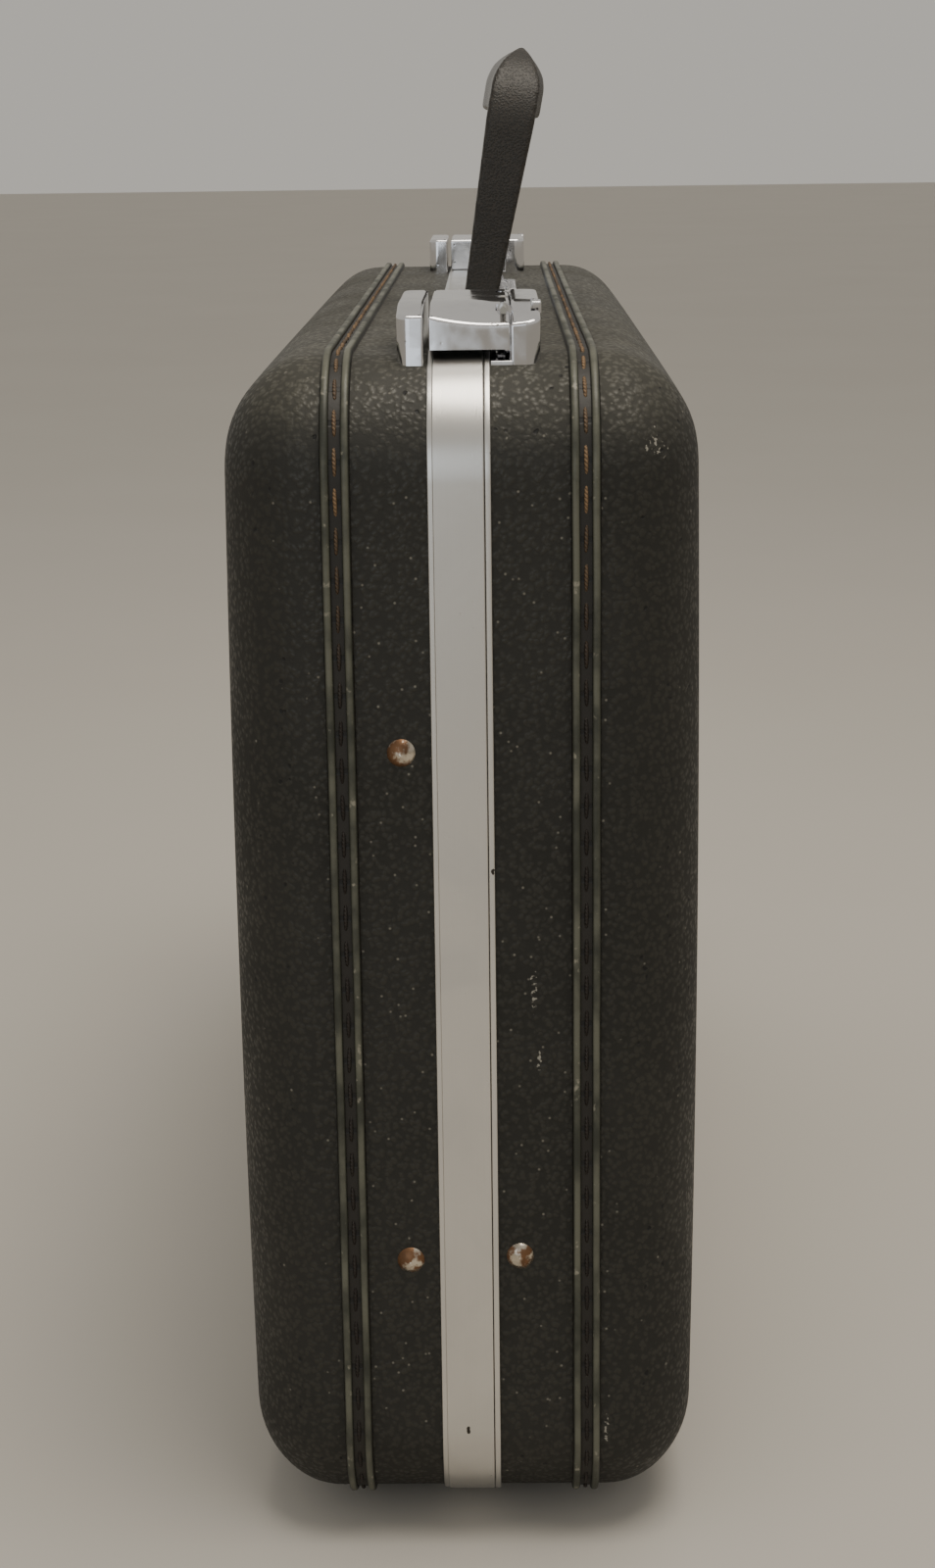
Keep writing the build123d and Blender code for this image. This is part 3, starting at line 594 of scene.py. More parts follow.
@dataclass(frozen=True)
class MouldedGlide(Finish):
    """Hard rubber glide, greyed and scratched underneath."""

    def shade(self, g: Graph, shader: bpy.types.Node) -> None:
        """See Finish.shade."""
        place = g.place()
        rub = g.math("MULTIPLY", g.span(g.split(place)[2], 0.0, 1.4 * MM, 1.0, 0.0),
                     g.span(g.noise(place, 420.0, 4.0), 0.35, 0.65))
        colour = g.mix(rub, (0.014, 0.014, 0.013, 1), (0.11, 0.105, 0.095, 1))
        self.feed(g, shader, Base_Color=colour, Roughness=g.span(rub, 0.0, 1.0, 0.45, 0.7))
        self.bump(g, shader, g.noise(place, 1400.0, 3.0), 0.05 * MM, 0.5)


@dataclass(frozen=True)
class PaleFloor(Finish):
    """Plain pale paper floor."""

    def shade(self, g: Graph, shader: bpy.types.Node) -> None:
        """See Finish.shade."""
        place = g.place()
        colour = g.mix(g.noise(place, 3.0, 3.0), (0.56, 0.525, 0.47, 1), (0.60, 0.565, 0.51, 1))
        self.feed(g, shader, Base_Color=colour, Roughness=0.85)
        self.bump(g, shader, g.noise(place, 300.0, 3.0), 0.1 * MM, 0.3)

    def dress(self, piece: bpy.types.Object) -> None:
        """The floor has no record slot."""
        piece.data.materials.append(self.material())


END_FACE = 0.2285
LID_SKIN = PebbledShell("lid_pebbled_skin", "shell")
BASE_SKIN = PebbledShell("base_pebbled_skin", "shell", scuffs=(
    Scuff((END_FACE - 3 * MM, 0.0514, 0.3100), (8 * MM, 9 * MM, 8 * MM), 0.30),
    Scuff((END_FACE, 0.0178, 0.1660), (3 * MM, 1.6 * MM, 13 * MM), 0.30),
    Scuff((END_FACE, 0.0190, 0.1450), (3 * MM, 1.2 * MM, 6 * MM), 0.32),
    Scuff((END_FACE, 0.0372, 0.0360), (3 * MM, 1.4 * MM, 8 * MM), 0.36),
    Scuff((-END_FACE, 0.0480, 0.2950), (8 * MM, 9 * MM, 10 * MM), 0.28),
    Scuff((-0.1800, 0.0600, 0.3250), (16 * MM, 6 * MM, 6 * MM), 0.28),
))
WELT = WeltVinyl("welt_vinyl", "welt")
THREAD = WaxedThread("waxed_thread", "welt")
BAND = SatinAluminium("band_aluminium", "band", scuffs=(
    Scuff((END_FACE + 1 * MM, -0.0012, 0.0363), (3 * MM, 1.0 * MM, 2.4 * MM), 0.42),
    Scuff((END_FACE + 1 * MM, 0.0072, 0.1986), (3 * MM, 1.0 * MM, 1.8 * MM), 0.42),
))
CHROME = BrightPlate("latch_chrome", "chrome")
STEEL = PlatedSteel("plated_steel", "steel")
RIVET = WornRivet("worn_rivet", "rivet")
VINYL = HandleVinyl("handle_vinyl", "handle")
LINING = WovenCloth("lining_cloth", "lining")
POCKET = WovenCloth("pocket_cloth", "pocket", dark=(0.10, 0.088, 0.07), light=(0.20, 0.18, 0.145),
                    threads=1100.0)
BINDING = HandleVinyl("binding_vinyl", "pocket")
GLIDE = MouldedGlide("moulded_glide", "foot")
FLOOR = PaleFloor("pale_floor", "")


# ---------------------------------------------------------------- mesh helpers


def new_piece(name: str, verts: Sequence[Sequence[float]], faces: Sequence[Face]) -> bpy.types.Object:
    """Make a smooth-shaded mesh object in the scene.

    Args:
        name: the piece's name.
        verts: points in the frame's axes.
        faces: corner numbers of each face.

    Returns:
        The object.
    """
    mesh = bpy.data.meshes.new(name)
    mesh.from_pydata([tuple(v) for v in verts], [], faces)
    mesh.validate()
    mesh.shade_smooth()
    piece = bpy.data.objects.new(name, mesh)
    bpy.context.scene.collection.objects.link(piece)
    return piece


def write_lie(piece: bpy.types.Object, domain: str, values: list[float]) -> None:
    """Keep a mesh's own coordinates, three numbers for each of its points or corners."""
    attribute = piece.data.attributes.new("lie", "FLOAT_VECTOR", domain)
    attribute.data.foreach_set("vector", values)


def from_bmesh(name: str, bm: bmesh.types.BMesh) -> bpy.types.Object:
    """Make a smooth-shaded object from a bmesh with its normals turned outwards."""
    bmesh.ops.recalc_face_normals(bm, faces=bm.faces)
    mesh = bpy.data.meshes.new(name)
    bm.to_mesh(mesh)
    bm.free()
    mesh.shade_smooth()
    piece = bpy.data.objects.new(name, mesh)
    bpy.context.scene.collection.objects.link(piece)
    return piece


def crisp(piece: bpy.types.Object, angle: float = 40.0) -> bpy.types.Object:
    """Keep flat faces flat beside their rounded edges: sharp past angle degrees, normals weighted by area."""
    piece.data.set_sharp_from_angle(angle=math.radians(angle))
    weighted = piece.modifiers.new("even_faces", "WEIGHTED_NORMAL")
    weighted.keep_sharp = True
    return piece


def ease_edges(piece: bpy.types.Object, width: float, steps: int = 2) -> None:
    """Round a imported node's edges with modifiers, its mesh left as it is."""
    bevel = piece.modifiers.new("eased_edges", "BEVEL")
    bevel.width = width
    bevel.segments = steps
    bevel.limit_method = "ANGLE"
    bevel.angle_limit = math.radians(35)
    bevel.use_clamp_overlap = True
    bevel.harden_normals = False


def rounded(points: Sequence[Point], radii: Sequence[float], steps: int = 4) -> list[Point]:
    """Closed outline with its corners replaced by arcs.

    Args:
        points: the corners, in order.
        radii: one radius for each corner; 0 leaves it sharp.
        steps: pieces of each arc.

    Returns:
        The points of the rounded outline.
    """
    result: list[Point] = []
    count = len(points)
    for index, radius in enumerate(radii):
        corner = Vector(points[index])
        before = Vector(points[index - 1]) - corner
        after = Vector(points[(index + 1) % count]) - corner
        if radius <= 0:
            result.append(tuple(corner))
            continue
        angle = before.angle(after)
        reach = min(radius / math.tan(angle / 2), 0.48 * before.length, 0.48 * after.length)
        radius = reach * math.tan(angle / 2)
        middle = (before.normalized() + after.normalized()).normalized()
        centre = corner + middle * (radius / math.sin(angle / 2))
        start = corner + before.normalized() * reach - centre
        end = corner + after.normalized() * reach - centre
        for step in range(steps + 1):
            way = start.slerp(end, step / steps).normalized() * radius
            result.append(tuple(centre + way))
    return result


def tube(path: Sequence[Vector], radius: Callable[[float], float] | float, sides: int = 8,
         closed: bool = False) -> tuple[list[Vector], list[Face]]:
    """Round tube along a path.

    Args:
        path: its centre points.
        radius: its radius, or a function of the share of the path from 0 to 1.
        sides: points of each ring.
        closed: whether the path is a loop.

    Returns:
        The tube's points and faces.
    """
    verts: list[Vector] = []
    faces: list[Face] = []
    count = len(path)
    side = Vector((0.31, 0.87, 0.39)).normalized()
    for index, centre in enumerate(path):
        after = path[(index + 1) % count] if closed or index < count - 1 else centre
        before = path[index - 1] if closed or index else centre
        ahead = (after - before).normalized()
        side = (side - ahead * side.dot(ahead)).normalized()
        third = ahead.cross(side)
        size = radius(index / (count - 1)) if callable(radius) else radius
        for step in range(sides):
            angle = 2 * math.pi * step / sides
            verts.append(centre + side * (size * math.cos(angle)) + third * (size * math.sin(angle)))
    for index in range(count if closed else count - 1):
        first, second = index * sides, (index + 1) % count * sides
        for step in range(sides):
            ahead_step = (step + 1) % sides
            faces.append((first + step, first + ahead_step, second + ahead_step, second + step))
    if not closed:
        faces.append(tuple(reversed(range(sides))))
        faces.append(tuple(range((count - 1) * sides, count * sides)))
    return verts, faces


def winding(outline: Sequence[Point]) -> float:
    """Twice the outline's area, positive where its points run anticlockwise."""
    return sum(a[0] * b[1] - b[0] * a[1] for a, b in zip([outline[-1], *outline[:-1]], outline))


def prism_bmesh(outline: Sequence[Point], low: float, high: float, edge: float,
                steps: int = 3) -> bmesh.types.BMesh:
    """Upright block on an (x, y) outline, its top edge rounded.

    Args:
        outline: the convex plan outline.
        low: height of its underside.
        high: height of its top.
        edge: radius of the top edge.
        steps: pieces of the edge's arc.

    Returns:
        The block.
    """
    bm = bmesh.new()
    count = len(outline)
    points = [Vector(p) for p in (outline if winding(outline) > 0 else list(reversed(outline)))]
    outward = []
    for index, point in enumerate(points):
        into = (point - points[index - 1]).normalized()
        out_of = (points[(index + 1) % count] - point).normalized()
        normal = Vector((into.y + out_of.y, -into.x - out_of.x)).normalized()
        outward.append(normal / max(0.35, normal.dot(Vector((into.y, -into.x)))))
    levels = [(0.0, low), (0.0, high - edge)]
    for step in range(1, steps + 1):
        angle = math.pi / 2 * step / steps
        levels.append((edge * (1 - math.cos(angle)), high - edge + edge * math.sin(angle)))
    rings = [[bm.verts.new((p.x - n.x * inset, p.y - n.y * inset, z)) for p, n in zip(points, outward)]
             for inset, z in levels]
    bm.faces.new(list(reversed(rings[0])))
    for lower, upper in zip(rings, rings[1:]):
        for index in range(count):
            following = (index + 1) % count
            bm.faces.new((lower[index], lower[following], upper[following], upper[index]))
    bm.faces.new(rings[-1])
    return bm


def slice_block(bm: bmesh.types.BMesh, axis: int, places: Iterable[float]) -> None:
    """Cut a mesh by planes square to an axis, so that its faces can bend there."""
    normal = [0.0, 0.0, 0.0]
    normal[axis] = 1.0
    for place in places:
        point = [0.0, 0.0, 0.0]
        point[axis] = place
        bmesh.ops.bisect_plane(bm, geom=[*bm.verts, *bm.edges, *bm.faces], plane_co=point, plane_no=normal)


def steps_between(low: float, high: float, count: int) -> list[float]:
    """Evenly spaced values strictly between two others."""
    return [low + (high - low) * index / (count + 1) for index in range(1, count + 1)]


def box_outline(x: Point, y: Point) -> list[Point]:
    """Rectangle in plan."""
    return [(x[0], y[0]), (x[1], y[0]), (x[1], y[1]), (x[0], y[1])]


def bake(piece: bpy.types.Object) -> bpy.types.Object:
    """Put the result of a piece's modifiers in its own mesh."""
    evaluated = piece.evaluated_get(bpy.context.evaluated_depsgraph_get())
    mesh = bpy.data.meshes.new_from_object(evaluated)
    piece.modifiers.clear()
    piece.data = mesh
    piece.data.shade_smooth()
    return piece


def carve(piece: bpy.types.Object, cutters: Sequence[bpy.types.Object]) -> None:
    """Cut other pieces out of a piece, and remove them."""
    for cutter in cutters:
        tool = piece.modifiers.new("carve", "BOOLEAN")
        tool.object = cutter
        tool.operation = "DIFFERENCE"
        tool.solver = "EXACT"
        bake(piece)
        bpy.data.objects.remove(cutter)


def merge(piece: bpy.types.Object, parts: Sequence[bpy.types.Object]) -> None:
    """Add other pieces' meshes to a piece's own, and remove them."""
    bm = bmesh.new()
    for part in (piece, *parts):
        bm.from_mesh(part.data)
    bm.to_mesh(piece.data)
    bm.free()
    for part in parts:
        bpy.data.objects.remove(part)
    piece.data.shade_smooth()


def smooth_step(value: float, low: float, high: float) -> float:
    """0 below low, 1 above high and smooth between them."""
    share = min(1.0, max(0.0, (value - low) / (high - low)))
    return share * share * (3 - 2 * share)


# ---------------------------------------------------------------- the case's outline


@dataclass(frozen=True)
class Station:
    """A place on the outline: its point, the outward direction there and its run along the outline."""

    x: float
    z: float
    out_x: float
    out_z: float
    run: float

    def point(self, grow: float, y: float) -> Vector:
        """Point at a height above the outline and a place across the case."""
        return Vector((self.x + grow * self.out_x, y, self.z + grow * self.out_z))


@dataclass(frozen=True)
class CaseOutline:
    """The case seen from its broad side: a rounded rectangle that the rings run round."""

    half_length: float
    bottom: float
    top: float
    radius: float = 30 * MM

    @classmethod
    def from_frame(cls) -> "CaseOutline":
        """Read the outline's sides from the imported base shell."""
        low, high = box("base_shell")
        return cls(high.x, low.z, high.z)

    @property
    def middle(self) -> float:
        """Height of the outline's centre."""
        return (self.top + self.bottom) / 2

    @property
    def straights(self) -> tuple[float, ...]:
        """Lengths of the straight runs, from the middle of the bottom round to it again."""
        flat = self.half_length - self.radius
        upright = (self.top - self.bottom) / 2 - self.radius
        return flat, 2 * upright, 2 * flat, 2 * upright, flat

    @property
    def arc(self) -> float:
        """Length of one corner."""
        return math.pi * self.radius / 2

    @property
    def length(self) -> float:
        """Length all the way round."""
        return sum(self.straights) + 4 * self.arc

    def at(self, run: float) -> Station:
        """Place at a run along the outline.

        Args:
            run: length from the middle of the bottom, towards +X first.

        Returns:
            The place there.
        """
        flat, upright = self.straights[0], self.straights[1] / 2
        centres = ((flat, -upright), (flat, upright), (-flat, upright), (-flat, -upright), (0.0, -upright))
        left = run % self.length
        for index, (straight, (cx, cz)) in enumerate(zip(self.straights, centres)):
            angle = math.radians(90 * index - 90)
            out_x, out_z = math.cos(angle), math.sin(angle)
            if left <= straight or index == len(centres) - 1:
                back = straight - left
                return Station(cx + self.radius * out_x + back * out_z,
                               self.middle + cz + self.radius * out_z - back * out_x, out_x, out_z, run)
            left -= straight
            if left <= self.arc:
                angle += left / self.radius
                out_x, out_z = math.cos(angle), math.sin(angle)
                return Station(cx + self.radius * out_x, self.middle + cz + self.radius * out_z,
                               out_x, out_z, run)
            left -= self.arc
        raise ValueError("the run is past the end of the outline")

    def stations(self, step: float = 8 * MM, arc_steps: int = 18) -> list[Station]:
        """Places all round, a step apart on the straights and closer in the corners."""
        runs: list[float] = []
        start = 0.0
        for index, straight in enumerate(self.straights):
            count = max(1, round(straight / step))
            runs += [start + straight * k / count for k in range(count)]
            start += straight
            if index < 4:
                runs += [start + self.arc * k / arc_steps for k in range(arc_steps)]
                start += self.arc
        return [self.at(run) for run in runs]

    def surface(self, x: float) -> float:
        """Height of the case's top at a place along it."""
        past = abs(x) - self.straights[0]
        if past <= 0:
            return self.top
        return self.top - self.radius + math.sqrt(max(0.0, self.radius ** 2 - past ** 2))


def ring_piece(name: str, outline: CaseOutline, section: Sequence[Point], step: float = 8 * MM,
               wobble: float = 0.0) -> bpy.types.Object:
    """Closed section swept all round the outline, with its own (run, across, height) coordinates.

    Args:
        name: the piece's name.
        outline: the case's outline.
        section: closed (height, y) outline of the section.
        step: spacing of the places on the straights.
        wobble: how far handwork strays, for soft rings.

    Returns:
        The ring.
    """
    shape = list(section) if winding(section) > 0 else list(reversed(section))
    places = outline.stations(step)
    verts: list[Vector] = []
    for place in places:
        for grow, y in shape:
            point = place.point(grow, y)
            if wobble and grow > 0:
                stray = noise.noise_vector(point * 45.0) * wobble
                point += Vector((place.out_x, 0, place.out_z)) * stray.x + Vector((0, stray.y, 0))
            verts.append(point)
    size, count = len(shape), len(places)
    faces: list[Face] = []
    lies: list[float] = []
    for i in range(count):
        j = (i + 1) % count
        first, second = places[i].run, places[j].run if j else outline.length
        for k in range(size):
            m = (k + 1) % size
            faces.append((i * size + k, i * size + m, j * size + m, j * size + k))
            for run, corner in ((first, k), (first, m), (second, m), (second, k)):
                lies += (run, shape[corner][1], shape[corner][0])
    piece = new_piece(name, verts, faces)
    write_lie(piece, "CORNER", lies)
    return piece


@dataclass
class Seam:
    """A row of stitches, each arching from hole to hole along a way over a surface."""

    name: str
    length: float
    pitch: float
    way: Callable[[float, float, float], Vector]
    finish: Finish
    share: float = 0.76
    radius: float = 0.55 * MM
    rings: int = 9
    sides: int = 8

    def stitch(self, start: float, rng: random.Random) -> tuple[list[Vector], list[Face]]:
        """One stitch from a place along the seam."""
        slant, lift = rng.uniform(-0.12, 0.12) * MM, rng.uniform(-0.08, 0.12) * MM
        reach = self.share * self.length / round(self.length / self.pitch)
        path = []
        for step in range(self.rings):
            share = step / (self.rings - 1)
            arch = math.sin(math.pi * share) ** 0.6
            rise = (2 * self.radius + lift) * arch * 0.75 - self.radius
            path.append(self.way(start + reach * (share - 0.5), slant * (2 * share - 1), rise))
        return tube(path, lambda share: self.radius * (0.72 + 0.28 * math.sin(math.pi * share)), self.sides)

    def build(self, body: str) -> bpy.types.Object:
        """Make the whole row as one piece on a body."""
        rng = random.Random(self.name)
        count = round(self.length / self.pitch)
        verts: list[Vector] = []
        faces: list[Face] = []
        lies: list[float] = []
        for index in range(count):
            middle = (index + 0.5) * self.length / count
            tone = rng.random()
            points, quads = self.stitch(middle, rng)
            faces += [tuple(len(verts) + corner for corner in quad) for quad in quads]
            verts += points
            for k in range(len(points)):
                lies += (middle + self.pitch * (k // self.sides) / self.rings,
                         2 * math.pi * (k % self.sides) / self.sides, tone)
        piece = new_piece(self.name, verts, faces)
        write_lie(piece, "POINT", lies)
        self.finish.dress(piece)
        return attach(piece, body)


# ---------------------------------------------------------------- shells, welts and frames


@dataclass
class Shell:
    """One moulded half of the case, closed and walled, its broad face slightly crowned."""

    outline: CaseOutline
    half: Half
    finish: Finish
    round_radius: float = 26 * MM
    wall: float = 2.6 * MM
    crown_up: float = 1.5 * MM
    crown_along: float = 0.7 * MM
    crown_start: float = 36 * MM
    round_steps: int = 16
    face_steps: int = 26

    @property
    def node(self) -> str:
        """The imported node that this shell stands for."""
        return f"{self.half.body}_shell"

    def span(self) -> tuple[float, float]:
        """Distances of the rim and of the broad face from the case's middle plane."""
        low, high = box(self.node)
        ends = (low.y * self.half.value, high.y * self.half.value)
        return min(ends), max(ends)

    def skin(self, inset: float, rim: float | None = None) -> list[list[Vector]]:
        """Rings of points from the rim to the middle of the broad face.

        Args:
            inset: depth inside the outer skin.
            rim: distance of the rim from the middle plane, the shell's own if left out.

        Returns:
            The rings, every one with the same number of points.
        """
        own_rim, face = self.span()
        rim = own_rim if rim is None else rim
        face -= inset
        radius = self.round_radius - inset
        start = face - radius
        profile = [(-inset, rim + (start - rim) * k / 4) for k in range(4)]
        for k in range(self.round_steps + 1):
            angle = math.pi / 2 * k / self.round_steps
            profile.append((-inset - radius * (1 - math.cos(angle)), start + radius * math.sin(angle)))
        places = self.outline.stations(10 * MM, 14)
        rings = [[place.point(grow, y) for place in places] for grow, y in profile]
        centre = Vector((0, 0, self.outline.middle))
        edge = rings[-1]
        for k in range(1, self.face_steps):
            share = 1 - k / self.face_steps
            rings.append([Vector((p.x * share, p.y, centre.z + (p.z - centre.z) * share)) for p in edge])
        return [[self.crowned(point) for point in ring] for ring in rings]

    def crowned(self, point: Vector) -> Vector:
        """The point moved in by the crown, and put on this half's side."""
        up = (point.z - self.outline.middle) / (self.outline.top - self.outline.middle)
        along = point.x / self.outline.half_length
        weight = smooth_step(point.y, self.crown_start, self.span()[1])
        y = point.y - weight * (self.crown_up * up * up + self.crown_along * (along ** 4))
        return Vector((point.x, y * self.half.value, point.z))

    def tray(self, name: str, inset: float, thickness: float, rim: float | None = None) -> bpy.types.Object:
        """Closed tray that follows the shell.

        Args:
            name: the piece's name.
            inset: depth of its outer skin inside the shell's.
            thickness: its wall.
            rim: distance of its rim from the middle plane, the shell's own if left out.

        Returns:
            The tray.
        """
        rings = [*reversed(self.skin(inset + thickness, rim)), *self.skin(inset, rim)]
        count = len(rings[0])
        bm = bmesh.new()
        made = [[bm.verts.new(point) for point in ring] for ring in rings]
        bm.faces.new(made[0])
        bm.faces.new(made[-1])
        for lower, upper in zip(made, made[1:]):
            for k in range(count):
                bm.faces.new((lower[k - 1], lower[k], upper[k], upper[k - 1]))
        piece = from_bmesh(name, bm)
        piece.data.set_sharp_from_angle(angle=math.radians(50))
        return piece

    def build(self) -> list[bpy.types.Object]:
        """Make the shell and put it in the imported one's place."""
        piece = self.tray(f"{self.half.body}_shell_skin", 0.0, self.wall)
        self.finish.dress(piece)
        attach(piece, self.half.body)
        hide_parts(self.node)
        return [piece]


@dataclass
class Welt:
    """Two ribs with a stitched channel between them, round one shell."""

    outline: CaseOutline
    half: Half
    rib_width: float = 2.2 * MM
    rib_height: float = 1.8 * MM
    channel_floor: float = 0.5 * MM
    sunk: float = 0.35 * MM
    wobble: float = 0.10 * MM
    pitch: float = 10 * MM

    def centres(self) -> tuple[float, float]:
        """Places of the inner and the outer rib across the case."""
        low, high = box(f"{self.half.body}_welt")
        inner, outer = sorted((abs(low.y), abs(high.y)))
        return inner + self.rib_width / 2, outer - self.rib_width / 2

    def section(self) -> list[Point]:
        """Section of the welt: a rounded rib on each side of the channel."""
        points: list[Point] = []
        steps = 10
        inner, outer = self.centres()
        for centre in (inner, outer):
            for step in range(steps + 1):
                angle = math.pi * (1 - step / steps)
                y = centre + self.rib_width / 2 * math.copysign(abs(math.cos(angle)) ** 0.8, math.cos(angle))
                grow = self.channel_floor + (self.rib_height - self.channel_floor) * math.sin(angle) ** 0.7
                points.append((grow, y))
        points.append((-self.sunk, outer + self.rib_width / 2 + self.sunk))
        points.append((-self.sunk, inner - self.rib_width / 2 - self.sunk))
        return [(grow, y * self.half.value) for grow, y in points]

    def build(self) -> list[bpy.types.Object]:
        """Make the welt and its stitches."""
        piece = ring_piece(f"{self.half.body}_welt_ribs", self.outline, self.section(), 3 * MM, self.wobble)
        piece.data.set_sharp_from_angle(angle=math.radians(60))
        WELT.dress(piece)
        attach(piece, self.half.body)
        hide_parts(f"{self.half.body}_welt")
        inner, outer = self.centres()
        middle = (inner + outer) / 2 * self.half.value

        def channel(run: float, aside: float, lift: float) -> Vector:
            """Point over the channel's floor."""
            return self.outline.at(run).point(self.channel_floor + lift, middle + aside)

        seam = Seam(f"{self.half.body}_welt_stitches", self.outline.length, self.pitch, channel, THREAD)
        return [piece, seam.build(self.half.body)]


@dataclass
class ClosureFrame:
    """Aluminium extrusion of one half: the lid's wide band or the base's narrow lip, with its inner leg."""

    outline: CaseOutline
    half: Half
    proud: float = 1.2 * MM
    edge: float = 0.35 * MM
    crease: float = 0.1 * MM
    seam: float = 6.0 * MM
    margin_width: float = 1.3 * MM
    step: float = 4.2 * MM
    leg: Point = (-2.75 * MM, -4.25 * MM)
    tongue: Point = (-3.7 * MM, -4.9 * MM)
    groove: Point = (-3.5 * MM, -5.8 * MM)
    groove_back: float = -6.5 * MM
    groove_depth: float = 3.55 * MM
    rim_depth: float = 4.25 * MM
    lip_width: float = 1.6 * MM

    def section(self) -> tuple[list[Point], list[float]]:
        """Corners of the extrusion as (height, y), and the radius of each."""
        proud, soft, hard = self.proud, self.edge, self.crease
        low, high = box(f"{self.half.body}_frame")
        leg_out, leg_in = self.leg
        if self.half is Half.LID:
            left, step = box("left_hinge_lid_leaf")[0].y - 0.5 * MM, self.step
            margin = left + self.margin_width
            tongue_out, tongue_in = self.tongue
            points = [(0.0, left), (proud - 0.45 * MM, left), (proud - 0.35 * MM, margin),
                      (proud, margin + 0.2 * MM), (proud, self.seam), (tongue_out, self.seam),
                      (tongue_out, high.y), (tongue_in, high.y), (tongue_in, step), (leg_in, step),
                      (leg_in, low.y), (leg_out, low.y), (leg_out, step), (0.0, step)]
            radii = [0.0, soft, hard, soft / 2, soft, hard, hard, hard, 0.0, 0.0, hard, hard, 0.0, 0.0]
            return points, radii
        lip, back = low.y, self.groove_back
        groove_out, groove_in = self.groove
        floor, rim = lip + self.groove_depth, lip + self.rim_depth
        points = [(proud, lip), (proud, lip + self.lip_width), (leg_out, lip + self.lip_width),
                  (leg_out, high.y), (leg_in, high.y), (leg_in, rim), (back, rim), (back, lip),
                  (groove_in, lip), (groove_in, floor), (groove_out, floor), (groove_out, lip)]
        radii = [soft, soft, 0.0, hard, hard, 0.0, hard, hard, hard, 0.0, 0.0, hard]
        return points, radii

    def build(self) -> list[bpy.types.Object]:
        """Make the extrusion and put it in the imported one's place."""
        points, radii = self.section()
        piece = ring_piece(f"{self.half.body}_closure_band", self.outline, rounded(points, radii, 3), 12 * MM)
        crisp(piece, 50)
        BAND.dress(piece)
        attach(piece, self.half.body)
        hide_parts(f"{self.half.body}_frame")
        return [piece]


# ---------------------------------------------------------------- latches


